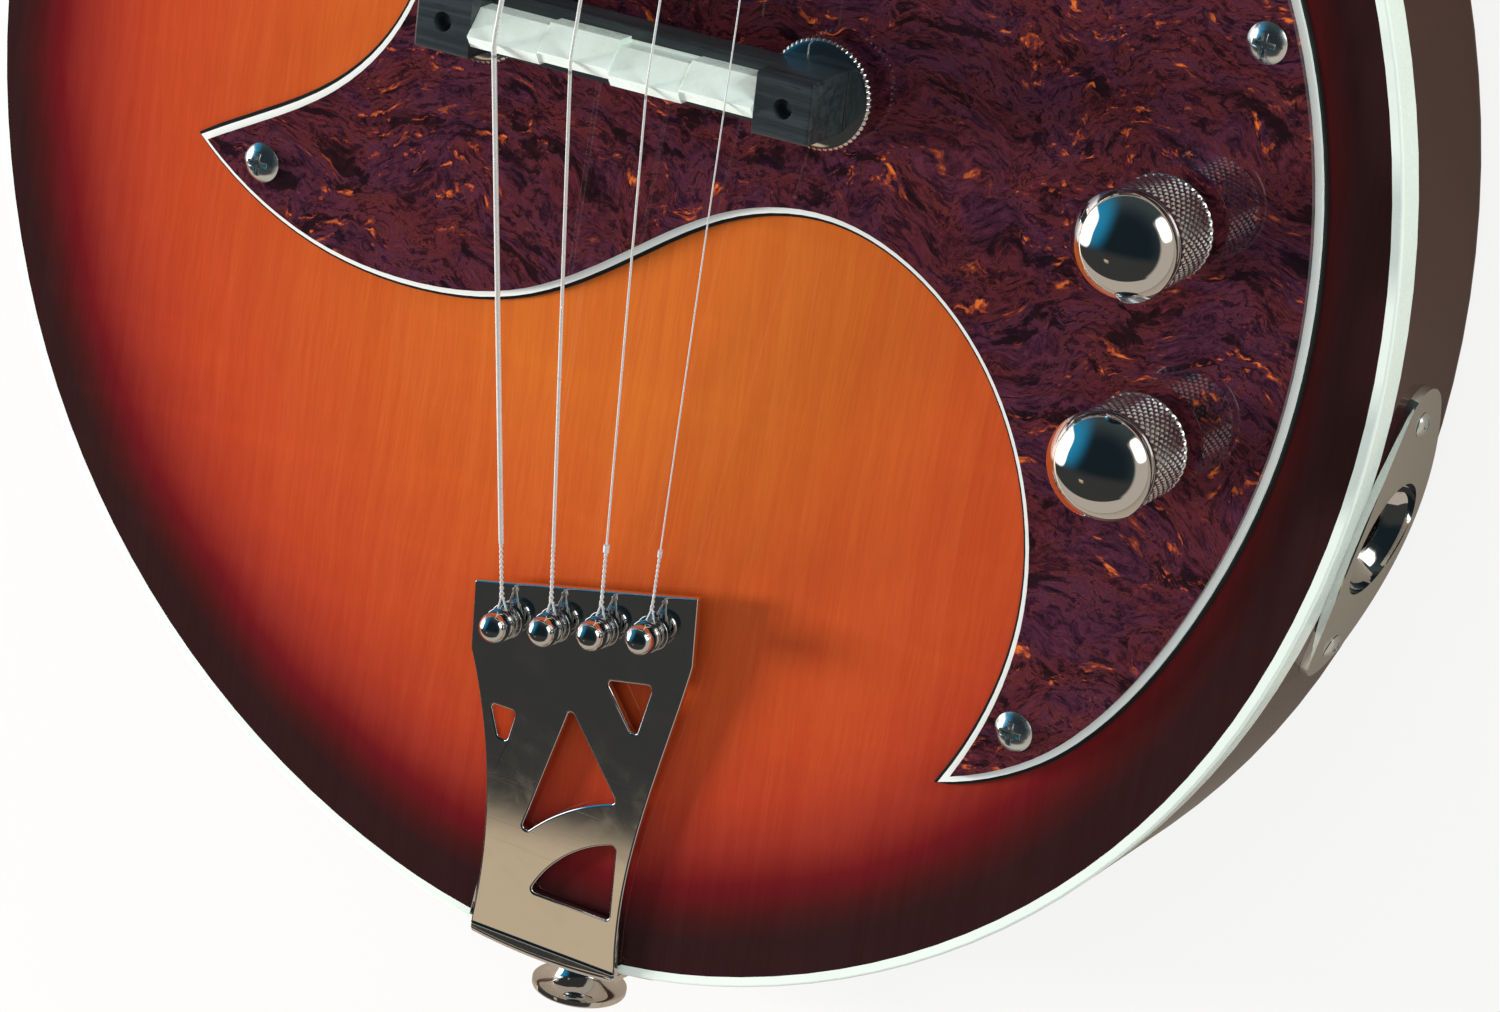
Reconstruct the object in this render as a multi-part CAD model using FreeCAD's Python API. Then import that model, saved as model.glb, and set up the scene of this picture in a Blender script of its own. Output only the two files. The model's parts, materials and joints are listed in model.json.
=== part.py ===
import FreeCAD, Part
import math
import os
from FreeCAD import Vector

os.makedirs("parts", exist_ok=True)

# Four-string electric mandolin lying on its back. Z is out of the face, Y runs to the headstock,
# X is the treble side. The origin is on the back face, under the bridge. All sizes in millimetres.

# Strings and scale
scale_length = 352.0
string_names = ["g", "d", "a", "e"]
string_radii = {"g": 0.43, "d": 0.30, "a": 0.19, "e": 0.13}
string_spacing_at_bridge = 13.7
string_spacing_at_nut = 7.6
string_spacing_at_pegs = 8.9
string_height_over_face = 20.1
string_seat_gap = 0.05
string_bend_radius = 9.0
string_nut_bend_radius = 3.0
string_end_gap = 0.3

# Body: the right half of the outline is a chain of tangent arcs from the tail to the neck end
bridge_to_tail = 159.2
tail_arc_radius = 106.0
lower_side_radius = 133.0
waist_radius = 153.0
shoulder_radius = 120.0
neck_sweep_radius = 75.0
neck_corner_radius = 8.0
outline_turns = [17.0, 52.0, 47.0, 30.0, -46.0, 80.0]
body_thickness = 32.0
top_plate_thickness = 5.7
binding_width = 1.8
binding_round = 0.5
back_edge_round = 3.0
overrun = 1.0

# Cavities in the body
cavity_floor = 6.0
control_cavity_width = 27.0
control_cavity_length = 70.0
control_cavity_corner = 6.0
control_cavity_centre_x = 89.5
control_cavity_centre_y = -23.0
pickup_cavity_floor = 14.0
pickup_cavity_clearance = 2.0
wire_tunnel_radius = 3.5

# Pickguard plies and their outline as shares of the half width and of the bridge to tail length
black_ply_thickness = 0.6
white_ply_thickness = 0.7
top_ply_thickness = 1.1
white_ply_inset = 0.35
top_ply_inset = 1.5
guard_right_shares = [(0.474, 0.540), (0.656, 0.402), (0.775, 0.264), (0.832, 0.176), (0.880, 0.056),
                      (0.901, -0.125), (0.887, -0.240), (0.826, -0.404), (0.721, -0.554),
                      (0.672, -0.597), (0.611, -0.633), (0.514, -0.667)]
guard_lower_shares = [(0.514, -0.667), (0.558, -0.590), (0.588, -0.465), (0.543, -0.302),
                      (0.436, -0.193), (0.257, -0.137), (0.129, -0.160), (-0.012, -0.236),
                      (-0.158, -0.310), (-0.319, -0.338), (-0.474, -0.327), (-0.609, -0.281),
                      (-0.664, -0.249)]
guard_left_shares = [(-0.664, -0.249), (-0.549, -0.194), (-0.468, -0.148), (-0.407, -0.091),
                     (-0.368, -0.019), (-0.352, 0.126), (-0.365, 0.330), (-0.400, 0.540)]
guard_stud_clearance = 0.6
guard_neck_gap = 0.5

# Dome-head screws that hold guard, pickup ring, jack plate, tailpiece, truss cover and tuners
screw_head_radius = 3.35
screw_head_height = 1.7
screw_shaft_radius = 1.3
screw_length = 13.0
screw_hole_clearance = 0.15
head_lift = 0.03
cross_width = 0.9
cross_depth = 1.0
cross_length = 3.6
small_screw_scale_share = 0.62
guard_screw_shares = [(-0.559, -0.256), (0.783, 0.165), (0.613, -0.582), (-0.350, 0.500),
                      (0.440, 0.490), (-0.312, 0.150)]

# Knobs and potentiometers
knob_x = {"volume": 88.8, "tone": 90.9}
knob_y = {"volume": -5.1, "tone": -39.7}
knob_radius = 8.45
knob_barrel_height = 13.0
knob_dome_rise = 6.5
knob_groove_depth = 0.5
knob_groove_width = 0.8
knob_gap_over_nut = 0.3
knurl_depth = 0.35
knob_knurl_count = 54
pot_case_radius = 8.0
pot_case_height = 9.0
pot_wall = 0.8
pot_collar_radius = 3.6
pot_collar_height = 6.0
shaft_radius = 3.0
shaft_clearance = 0.06
shaft_in_knob = 9.0
shaft_foot_radius = 5.5
shaft_foot_height = 1.2
pot_lug_width = 2.0
pot_lug_length = 5.0
pot_lug_thickness = 0.5
panel_nut_flats = 10.0
panel_nut_height = 1.2
panel_washer_radius = 6.2
panel_washer_height = 0.4
panel_gap = 0.1
capacitor_radius = 2.6
capacitor_length = 9.0
wire_radius = 0.6
wire_bend_radius = 4.0
wire_start_share = 0.6

# Jack on the treble side
jack_heading = 78.8
jack_height = 16.0
jack_plate_half_length = 25.6
jack_plate_half_height = 11.6
jack_plate_end_radius = 7.0
jack_plate_thickness = 1.4
jack_screw_spacing = 39.5
jack_dish_radius = 9.6
jack_dish_floor_radius = 7.2
jack_dish_depth = 4.4
jack_dish_wall = 0.9
jack_bore_radius = 10.6
jack_bore_into_cavity = 5.0
plug_hole_radius = 3.2
jack_sleeve_radius = 4.7
jack_sleeve_reach = 3.2
jack_flange_radius = 7.0
jack_flange_height = 1.5
jack_nut_height = 1.8
jack_nut_flats = 11.4
jack_arm_width = 6.0
jack_arm_thickness = 1.0
jack_arm_length = 17.0
jack_spring_thickness = 0.5
jack_spring_width = 3.0
jack_insulator_height = 2.0
sleeve_wall_gap = 0.05

# Bridge
bridge_turn = 2.45
bridge_centre_x = -0.5
bridge_centre_y = -1.3
bridge_half_length = 35.4
bridge_block_inner = 25.4
bridge_half_width = 5.0
bridge_bottom_over_face = 8.0
bridge_block_top_over_face = 19.2
bridge_rail_top_over_face = 13.2
bridge_edge_round = 0.6
saddle_slot_depth = 2.2
saddle_half_width = 3.0
saddle_neck_edge_over_face = 16.6
saddle_tail_edge_over_face = 18.6
saddle_ridge = -1.1
saddle_ridge_drop = 0.1
saddle_offsets = [0.0, 0.5, -0.4, 0.2]
stud_spacing = 60.8
stud_radius = 1.55
stud_depth = 14.0
stud_top_over_face = 16.8
running_clearance = 0.05
wheel_radius = 9.0
wheel_height = 3.2
wheel_knurl_count = 56
wheel_knurl_depth = 0.5

# Tailpiece
tail_plate_thickness = 1.5
tail_plate_rise = 2.1
tail_plate_shares = [(-0.1605, 0.0145), (-0.155, -0.060), (-0.131, -0.116), (-0.110, -0.195),
                     (-0.1065, -0.355)]
tail_plate_right_shares = [(0.162, 0.0765), (0.167, 0.001), (0.1297, -0.153), (0.1135, -0.242),
                           (0.114, -0.355)]
tail_zone_start = 100.2
tail_window_big_shares = [(0.0008, -0.0873), (0.0846, -0.1734), (0.0095, -0.2035), (-0.053, -0.2513)]
tail_window_low_shares = [(0.0909, -0.2198), (0.0949, -0.304), (-0.0253, -0.304), (0.0198, -0.2525)]
tail_window_right_shares = [(0.0475, -0.0446), (0.1146, -0.0333), (0.0988, -0.0967)]
tail_window_left_shares = [(-0.1154, -0.1131), (-0.0775, -0.1131), (-0.0862, -0.1476), (-0.0996, -0.1464)]
tail_window_round = 0.7
tail_ear_centre_x = 1.2
tail_ear_half_width = 19.5
tail_ear_drop = 3.4
tail_bend_radius = 1.3
tail_flange_depth = 24.0
tail_flange_corner = 2.5
tail_screw_drop = 7.5
tail_screw_spread = 16.0
peg_line_over_tail = 59.7
peg_line_slope = 0.25
peg_radius = 1.7
peg_groove_radius = 1.25
peg_head_radius = 2.6
peg_collar_radius = 2.4
peg_collar_height = 0.5
peg_stem_height = 0.5
peg_groove_height = 1.1
twist_length = 9.6
twist_width_ratio = 2.0
twist_gap = 0.15
loop_gap = 0.02

# Strap buttons and their screws
tail_button_x = -0.7
strap_button_flange_radius = 8.0
strap_button_neck_radius = 3.4
strap_button_base_radius = 4.6
strap_button_length = 11.0
strap_button_lip = 1.2
strap_button_waist_base = 2.2
strap_button_waist_top = 3.8
strap_button_head_radius = 3.6
strap_screw_radius = 1.9
strap_screw_length = 26.0
strap_screw_head_height = 2.4
strap_button_height = 16.0
neck_button_heading = 128.0

# Neck, in its own frame: y from the bridge, z down from the top of the fingerboard
neck_tilt = 2.0
fingerboard_drop_at_bridge = 3.9
fingerboard_thickness = 5.8
fingerboard_overhang = 4.0
fingerboard_width_at_end = 41.0
nut_width = 29.0
fret_count = 24
fret_crown_radius = 0.9
fret_tang_depth = 1.6
fret_tang_width = 0.5
fret_inset = 0.3
dot_radius = 2.6
small_dot_radius = 1.0
dot_depth = 1.2
dot_frets = [3, 5, 7, 10, 12, 15, 17, 19]
double_dot_fret = 12
neck_depth = 13.4
heel_floor = 12.0
heel_reach = 20.0
heel_curve_radius = 16.0
nut_thickness = 4.6
nut_rise = 1.9
nut_seat = 1.3
nut_break_share = 0.9
headstock_drop = 1.2
headstock_thickness = 13.0
headstock_length = 100.0
headstock_half_width = 31.0
headstock_tip_half_width = 27.0
headstock_shoulder = 20.0
headstock_crown = 6.0
truss_rod_radius = 2.5
truss_rod_depth = 5.4
truss_rod_start = 112.0
truss_pocket_length = 20.0
truss_pocket_half_width = 4.6
truss_pocket_depth = 8.2
truss_nut_radius = 3.6
truss_nut_length = 9.0
truss_gap = 0.1
truss_cover_half_width = 9.0
truss_cover_tip_half_width = 4.5
truss_cover_length = 27.0
truss_cover_thickness = 1.5
truss_cover_screw_inset = 2.6
neck_screw_radius = 2.0
neck_screw_head_radius = 4.4
neck_screw_head_height = 2.6
neck_screw_spread_x = 11.0
neck_screw_spread_y = 17.0
neck_screw_length = 25.0
neck_screw_centre_offset = 0.75

# Pickup near the fingerboard
pickup_ring_to_fingerboard = 0.5
pickup_end_beyond_magnet = 10.217
pickup_half_width = 10.0
pickup_corner = 4.0
pickup_cover_wall = 0.7
pickup_top_below_strings = 2.6
pickup_cover_height = 15.0
pickup_ring_margin = 5.5
pickup_ring_height = 7.5
pickup_ring_corner = 3.0
pickup_travel_clearance = 0.35
pickup_base_thickness = 1.2
pickup_ear_length = 5.0
pickup_ear_half_width = 4.0
bobbin_flange = 1.2
bobbin_core_half_width = 3.2
coil_gap = 0.1
magnet_radius = 2.4
magnet_clearance = 0.02
height_screw_radius = 1.4
height_screw_head_radius = 2.4
height_screw_head_height = 1.6
height_screw_length = 19.0

# Tuners, two a side
post_x = 17.5
post_first_from_nut = 34.0
post_step = 36.0
post_radius = 3.0
post_waist_radius = 2.5
post_waist_height = 5.2
post_top_height = 2.2
post_waist_base_over_headstock = {"near": 3.0, "far": 2.2}
post_clearance = 0.08
ferrule_radius = 4.2
ferrule_flange_radius = 5.6
ferrule_flange_height = 1.4
housing_half_width = 8.0
housing_half_length = 9.8
housing_height = 9.4
housing_wall = 1.1
housing_round = 2.0
gear_radius = 4.5
gear_height = 3.0
gear_tooth_count = 15
gear_notch_radius = 0.42
worm_radius = 2.1
worm_half_length = 4.2
worm_gap = 0.15
key_shaft_radius = 1.5
key_clearance = 0.06
key_shaft_reach = 9.0
key_button_half_length = 8.6
key_button_half_height = 5.6
key_button_end_radius = 4.6
key_button_thickness = 6.4
key_button_hub_radius = 2.6
key_button_hub_length = 2.4
key_bushing_length = 3.0
key_bushing_radius = 2.7
tuner_tab_radius = 2.7
winding_turn_count = 3
winding_gap = 0.45
winding_seat_gap = 0.04

# Places worked out from the sizes above
face_z = body_thickness
seam_z = face_z - top_plate_thickness
guard_top_z = face_z + black_ply_thickness + white_ply_thickness + top_ply_thickness
string_z_at_bridge = face_z + string_height_over_face
fingerboard_z_at_bridge = string_z_at_bridge - fingerboard_drop_at_bridge
headstock_top = -fingerboard_thickness - headstock_drop
headstock_bottom = headstock_top - headstock_thickness
nut_back = scale_length + nut_thickness
wire_tunnel_height = pickup_cavity_floor + wire_tunnel_radius


def on_bridge(shape):
    # from the bridge's own frame, which is turned a little for the bass string
    turned = shape.copy()
    turned.rotate(Vector(0, 0, 0), Vector(0, 0, 1), bridge_turn)
    turned.translate(Vector(bridge_centre_x, bridge_centre_y, 0))
    return turned


def stud_places():
    places = []
    for side in (-1, 1):
        turn = math.radians(bridge_turn)
        reach = side * stud_spacing / 2
        places.append((bridge_centre_x + reach * math.cos(turn), bridge_centre_y + reach * math.sin(turn)))
    return places


def save(name, shape):
    # one STEP file per node
    shape.exportStep("parts/" + name + ".step")
    solids = len(shape.Solids)
    print(name, "solids", solids, "volume", round(shape.Volume, 2), "valid", shape.isValid())


def box(x0, x1, y0, y1, z0, z1):
    return Part.makeBox(x1 - x0, y1 - y0, z1 - z0, Vector(x0, y0, z0))


def cylinder(radius, height, x=0.0, y=0.0, z=0.0):
    return Part.makeCylinder(radius, height, Vector(x, y, z))


def rod_between(start, end, radius):
    return Part.makeCylinder(radius, (end - start).Length, start, end - start)


def extrude(wire, z0, z1):
    # the wire lies at z = 0
    solid = Part.Face(wire).extrude(Vector(0, 0, z1 - z0))
    solid.translate(Vector(0, 0, z0))
    return solid


def polygon(points):
    corners = [Vector(p[0], p[1], 0) for p in points]
    return Part.makePolygon(corners + [corners[0]])


def rounded_box(half_x, half_y, corner, z0, z1, x=0.0, y=0.0):
    solid = box(x - half_x, x + half_x, y - half_y, y + half_y, z0, z1)
    upright = [e for e in solid.Edges if abs(e.tangentAt(e.FirstParameter).z) > 0.5]
    return solid.makeFillet(corner, upright)


def revolve(points):
    # points are radius and height, turned a full circle about Z
    corners = [Vector(r, 0, z) for r, z in points]
    face = Part.Face(Part.makePolygon(corners + [corners[0]]))
    return face.revolve(Vector(0, 0, 0), Vector(0, 0, 1), 360)


def hexagon(flats, height, z=0.0):
    corner = flats / math.sqrt(3.0)
    points = [(corner * math.cos(math.radians(a)), corner * math.sin(math.radians(a)))
              for a in range(0, 360, 60)]
    return extrude(polygon(points), z, z + height)


def star_wire(outer, inner, count):
    # knurled rim: outer and inner corners in turn
    points = []
    for k in range(2 * count):
        angle = math.pi * k / count
        radius = outer if k % 2 == 0 else inner
        points.append((radius * math.cos(angle), radius * math.sin(angle)))
    return polygon(points)


def oval_wire(half_length, half_height, end_radius):
    # two long side arcs tangent to two end arcs
    run = half_length - end_radius
    side_radius = (half_height ** 2 + run ** 2 - end_radius ** 2) / (2 * (half_height - end_radius))
    angle = math.atan2(side_radius - half_height, run)
    tx = run + end_radius * math.cos(angle)
    ty = end_radius * math.sin(angle)
    points = [Vector(tx, -ty, 0), Vector(half_length, 0, 0), Vector(tx, ty, 0),
              Vector(0, half_height, 0), Vector(-tx, ty, 0), Vector(-half_length, 0, 0),
              Vector(-tx, -ty, 0), Vector(0, -half_height, 0)]
    arcs = []
    for k in range(0, 8, 2):
        arcs.append(Part.Arc(points[k], points[k + 1], points[(k + 2) % 8]).toShape())
    return Part.Wire(arcs)


def outline_radii():
    return [tail_arc_radius, lower_side_radius, waist_radius, shoulder_radius, neck_sweep_radius,
            neck_corner_radius]


def outline_arcs(inset):
    # start, middle and end of each arc of the right half, moved inwards by inset
    x, y, heading = 0.0, inset - bridge_to_tail, 0.0
    arcs = []
    for radius, turn in zip(outline_radii(), outline_turns):
        side = 1.0 if turn > 0 else -1.0
        r = radius - side * inset
        centre = Vector(x - side * r * math.sin(math.radians(heading)),
                        y + side * r * math.cos(math.radians(heading)), 0)
        places = []
        for part in (0.0, 0.5, 1.0):
            angle = math.radians(heading + part * turn)
            places.append(centre + Vector(side * r * math.sin(angle), -side * r * math.cos(angle), 0))
        arcs.append((places, heading, centre, side * r))
        x, y = places[2].x, places[2].y
        heading += turn
    return arcs


def body_wire(inset):
    edges = []
    right = [places for places, heading, centre, radius in outline_arcs(inset)]
    for a, b, c in right:
        edges.append(Part.Arc(a, b, c).toShape())
    last = right[-1][2]
    edges.append(Part.LineSegment(last, Vector(-last.x, last.y, 0)).toShape())
    for a, b, c in reversed(right):
        edges.append(Part.Arc(Vector(-c.x, c.y, 0), Vector(-b.x, b.y, 0), Vector(-a.x, a.y, 0)).toShape())
    return Part.Wire(edges)


def side_point(heading):
    # point of the right half of the outline where its direction is the heading
    for places, start, centre, radius in outline_arcs(0.0):
        turn = outline_turns[outline_radii().index(abs(round(radius, 6)))]
        if turn > 0 and start <= heading <= start + turn:
            angle = math.radians(heading)
            return centre + Vector(radius * math.sin(angle), -radius * math.cos(angle), 0)
    return None


def on_side(shape, heading, height, side=1.0):
    # local z points out of the side wall, local y points up, local x runs along the wall
    point = side_point(heading)
    nx = side * math.sin(math.radians(heading))
    ny = -math.cos(math.radians(heading))
    matrix = FreeCAD.Matrix(-ny, 0, nx, side * point.x,
                            nx, 0, ny, point.y,
                            0, 1, 0, height,
                            0, 0, 0, 1)
    return shape.transformed(matrix, True)


def widest(inset):
    arcs = outline_arcs(inset)
    centre, radius = arcs[2][2], arcs[2][3]
    return centre.x + radius


half_width = widest(0.0)
body_end = outline_arcs(0.0)[-1][0][2].y
control_cavity_side = control_cavity_centre_x + control_cavity_width / 2
jack_reach = jack_dish_depth + jack_dish_wall + jack_flange_height + jack_arm_length
cavity_reach = (side_point(jack_heading).x - control_cavity_side) / math.sin(math.radians(jack_heading))
jack_bore_depth = max(jack_reach + jack_flange_height, cavity_reach + jack_bore_into_cavity)


def shared(shares):
    return [Vector(x * half_width, y * bridge_to_tail, 0) for x, y in shares]


def spline(points):
    curve = Part.BSplineCurve()
    curve.interpolate(points)
    return curve.toShape()


def on_neck(shape):
    # from the neck's own frame to the instrument's
    turned = shape.copy()
    turned.rotate(Vector(0, 0, 0), Vector(1, 0, 0), -neck_tilt)
    turned.translate(Vector(0, 0, fingerboard_z_at_bridge))
    return turned


def neck_point(x, y, z):
    angle = math.radians(neck_tilt)
    return Vector(x, y * math.cos(angle) + z * math.sin(angle),
                  fingerboard_z_at_bridge - y * math.sin(angle) + z * math.cos(angle))


def board_half_width(y):
    part = (y - fingerboard_end) / (scale_length - fingerboard_end)
    return (fingerboard_width_at_end + part * (nut_width - fingerboard_width_at_end)) / 2


def fret_y(number):
    return scale_length * 2.0 ** (-number / 12.0)


def tangent_path(points, radii):
    # straight runs joined by tangent arcs, one radius for each inner point
    edges = []
    here = points[0]
    for k in range(1, len(points) - 1):
        into = (points[k] - points[k - 1]).normalize()
        out = (points[k + 1] - points[k]).normalize()
        turn = math.acos(max(-1.0, min(1.0, into.dot(out))))
        reach = radii[k - 1] * math.tan(turn / 2)
        start = points[k] - into * reach
        end = points[k] + out * reach
        inward = (out - into).normalize()
        middle = points[k] + inward * (radii[k - 1] / math.cos(turn / 2) - radii[k - 1])
        edges.append(Part.LineSegment(here, start).toShape())
        edges.append(Part.Arc(start, middle, end).toShape())
        here = end
    edges.append(Part.LineSegment(here, points[-1]).toShape())
    return Part.Wire(edges)


def tube(path, radius):
    first = path.Edges[0]
    start = first.valueAt(first.FirstParameter)
    ahead = first.tangentAt(first.FirstParameter)
    profile = Part.Wire(Part.Circle(start, ahead, radius).toShape())
    return path.makePipeShell([profile], True, False)


def biarc(p0, t0, p1, t1):
    # two tangent arcs from p0 with direction t0 to p1 with direction t1
    v = p1 - p0
    both = t0 + t1
    a = 2.0 * (1.0 - t0.dot(t1))
    b = v.dot(both)
    reach = (-b + math.sqrt(b * b + a * v.dot(v))) / a
    q0 = p0 + t0 * reach
    q1 = p1 - t1 * reach
    joint = (q0 + q1) * 0.5
    return [arc_at(p0, q0, joint), arc_at(joint, q1, p1)]


def arc_at(start, apex, end):
    middle = (start + end) * 0.5
    half = (end - start).Length / 2
    rise = (apex - middle).Length
    angle = math.atan2(rise, half)
    sagitta = half * (1.0 - math.cos(angle)) / math.sin(angle)
    return Part.Arc(start, middle + (apex - middle).normalize() * sagitta, end).toShape()


def helix_tube(radius, pitch, turns, wire):
    # one unbroken tube on biarcs of a quarter turn
    def place(angle):
        return Vector(radius * math.cos(angle), radius * math.sin(angle), pitch * angle / (2 * math.pi))

    def ahead(angle):
        return Vector(-radius * math.sin(angle), radius * math.cos(angle), pitch / (2 * math.pi)).normalize()

    edges = []
    for k in range(4 * turns):
        a0 = math.pi * k / 2
        a1 = math.pi * (k + 1) / 2
        edges += biarc(place(a0), ahead(a0), place(a1), ahead(a1))
    gap = pitch * math.cos(math.atan2(pitch, 2 * math.pi * radius)) - 2 * wire
    print("helix gap", round(gap, 3))
    return tube(Part.Wire(edges), wire)


def dome_screw(scale=1.0, length=screw_length):
    # head on z = 0, shaft down, cross cut in the dome
    head_r = screw_head_radius * scale
    head_h = screw_head_height * scale
    ball = (head_r ** 2 + head_h ** 2) / (2 * head_h)
    head = Part.makeSphere(ball, Vector(0, 0, head_h - ball)).common(cylinder(head_r, head_h))
    half = cross_length * scale / 2
    arm = cross_width * scale / 2
    deep = head_h - cross_depth * scale
    cross = box(-half, half, -arm, arm, deep, head_h + overrun)
    cross = cross.fuse(box(-arm, arm, -half, half, deep, head_h + overrun))
    shaft = cylinder(screw_shaft_radius * scale, length, 0, 0, -length)
    return head.cut(cross).fuse(shaft).removeSplitter()


def moved(shape, x, y, z):
    copy = shape.copy()
    copy.translate(Vector(x, y, z))
    return copy


# Body core, top plate and binding

def neck_plan(z0, z1):
    # the fingerboard's taper from its end to past the body
    y0 = heel_start
    y1 = body_end + heel_reach
    points = [(-board_half_width(y0), y0), (board_half_width(y0), y0),
              (board_half_width(y1), y1), (-board_half_width(y1), y1)]
    return extrude(polygon(points), z0, z1)


heel_start = fret_y(fret_count)
fingerboard_end = heel_start - fingerboard_overhang
pickup_centre_y = fingerboard_end - pickup_ring_to_fingerboard - pickup_ring_margin - pickup_half_width
neck_screw_centre_y = (heel_start + body_end) / 2 - neck_screw_centre_offset


def string_z(y):
    # height of the string line over the back between bridge and nut
    nut_point = neck_point(0, scale_length, nut_seat)
    return string_z_at_bridge + (nut_point.z - string_z_at_bridge) * y / nut_point.y


def guard_screw_places():
    return [(x * half_width, y * bridge_to_tail) for x, y in guard_screw_shares]


def string_spacing_at(y):
    # spacing of the strings between the bridge and the nut
    return string_spacing_at_bridge + y / scale_length * (string_spacing_at_nut - string_spacing_at_bridge)


pickup_half_length = 1.5 * string_spacing_at(pickup_centre_y) + pickup_end_beyond_magnet


def pickup_screw_places():
    reach = pickup_half_length + pickup_ear_length / 2
    return [(-reach, pickup_centre_y), (reach, pickup_centre_y)]


def ring_screw_places():
    margin = pickup_ring_margin / 2
    places = []
    for sx in (-1, 1):
        for sy in (-1, 1):
            places.append((sx * (ring_half_length() - margin),
                           pickup_centre_y + sy * (ring_half_width() - margin)))
    return places


def ring_half_length():
    return pickup_half_length + pickup_ear_length + pickup_ring_margin


def ring_half_width():
    return pickup_half_width + pickup_ring_margin


def neck_screw_places():
    places = []
    for sx in (-1, 1):
        for sy in (-1, 1):
            places.append((sx * neck_screw_spread_x, neck_screw_centre_y + sy * neck_screw_spread_y))
    return places


def cavities():
    shapes = []
    top = face_z + overrun
    shapes.append(rounded_box(control_cavity_width / 2, control_cavity_length / 2, control_cavity_corner,
                              cavity_floor, top, control_cavity_centre_x, control_cavity_centre_y))
    shapes.append(rounded_box(ring_half_length() - pickup_ring_margin + pickup_cavity_clearance,
                              pickup_half_width + pickup_cavity_clearance, pickup_corner,
                              pickup_cavity_floor, top, 0.0, pickup_centre_y))
    start = Vector(pickup_half_length / 2, pickup_centre_y, wire_tunnel_height)
    end = Vector(knob_x["volume"], knob_y["volume"], wire_tunnel_height)
    shapes.append(rod_between(start, end, wire_tunnel_radius))
    bore = cylinder(jack_bore_radius, jack_bore_depth + overrun, 0, 0, -jack_bore_depth)
    shapes.append(on_side(bore, jack_heading, jack_height))
    shapes.append(neck_plan(heel_floor, top))
    return shapes


def screw_holes(clearance):
    # holes for every screw and stud that enters the body
    shapes = []
    radius = screw_shaft_radius + clearance
    for x, y in guard_screw_places():
        shapes.append(cylinder(radius, screw_length, x, y, guard_top_z - screw_length))
    for x, y in ring_screw_places():
        shapes.append(cylinder(radius * small_screw_scale_share, ring_screw_length(), x, y,
                               guard_top_z + pickup_ring_height - ring_screw_length()))
    for x, y in stud_places():
        shapes.append(cylinder(stud_radius + clearance, stud_depth + overrun, x, y, face_z - stud_depth))
    small = screw_shaft_radius * small_screw_scale_share + clearance
    short = screw_length * small_screw_scale_share
    for heading in jack_screw_headings():
        shapes.append(on_side(cylinder(small, short, 0, 0, -short), heading, jack_height))
    for heading in tail_screw_headings():
        shapes.append(round_the_tail(cylinder(small, screw_length, 0, 0, -screw_length), heading))
    hole = cylinder(strap_screw_radius + clearance, strap_screw_length, 0, 0, -strap_screw_length)
    shapes.append(on_side(moved(hole, tail_button_x, 0, 0), 0.0, strap_button_height))
    shapes.append(on_side(hole, neck_button_heading, strap_button_height, -1.0))
    return shapes


def jack_screw_headings():
    # directions of the side wall where the jack plate's screws enter square to it
    reach = math.degrees(math.asin(jack_screw_spacing / 2 / waist_radius))
    return [jack_heading - reach, jack_heading + reach]


def tail_screw_headings():
    places = [tail_ear_centre_x - tail_screw_spread, tail_ear_centre_x + tail_screw_spread]
    return [math.degrees(math.asin(x / tail_arc_radius)) for x in places]


def round_the_tail(shape, heading):
    # a screw or hole that enters the wall beside the middle of the tail
    return on_side(shape, abs(heading), face_z - tail_screw_drop, math.copysign(1.0, heading))


def small_screw_hole():
    # through hole for a small screw, crossing the wall it stands on
    radius = screw_shaft_radius * small_screw_scale_share + screw_hole_clearance
    return cylinder(radius, screw_length, 0, 0, -screw_length / 2)


def ring_screw_length():
    return pickup_ring_height + screw_length


def neck_screw_blank():
    # countersunk head at the back, shaft up into the heel
    head = Part.makeCone(neck_screw_head_radius, neck_screw_radius, neck_screw_head_height)
    return head.fuse(cylinder(neck_screw_radius, neck_screw_length)).removeSplitter()


def neck_screw():
    half = cross_length / 2
    arm = cross_width / 2
    cross = box(-half, half, -arm, arm, -overrun, cross_depth)
    cross = cross.fuse(box(-arm, arm, -half, half, -overrun, cross_depth))
    return neck_screw_blank().cut(cross)


def make_body():
    core = extrude(body_wire(0.0), 0.0, seam_z)
    back_edges = [e for e in core.Edges if max(v.Z for v in e.Vertexes) < overrun]
    core = core.makeFillet(back_edge_round, back_edges)
    plate = extrude(body_wire(binding_width), seam_z, face_z)
    ring = extrude(body_wire(0.0), seam_z, face_z)
    rim = [e for e in ring.Edges if min(v.Z for v in e.Vertexes) > face_z - overrun]
    ring = ring.makeFillet(binding_round, rim)
    ring = ring.cut(extrude(body_wire(binding_width), seam_z - overrun, face_z + overrun))
    cuts = cavities() + screw_holes(0.0)
    for x, y in neck_screw_places():
        cuts.append(moved(neck_screw_blank(), x, y, 0.0))
    core = core.cut(cuts)
    plate = plate.cut(cuts)
    ring = ring.cut(neck_plan(heel_floor, face_z + overrun))
    save("body_core", core)
    save("top_plate", plate)
    save("body_binding", ring)


# Pickguard

def guard_wire():
    right = spline(shared(guard_right_shares))
    lower = spline(shared(guard_lower_shares))
    left = spline(shared(guard_left_shares))
    top = Part.LineSegment(shared(guard_left_shares)[-1], shared(guard_right_shares)[0]).toShape()
    return Part.Wire([right, lower, left, top])


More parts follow.
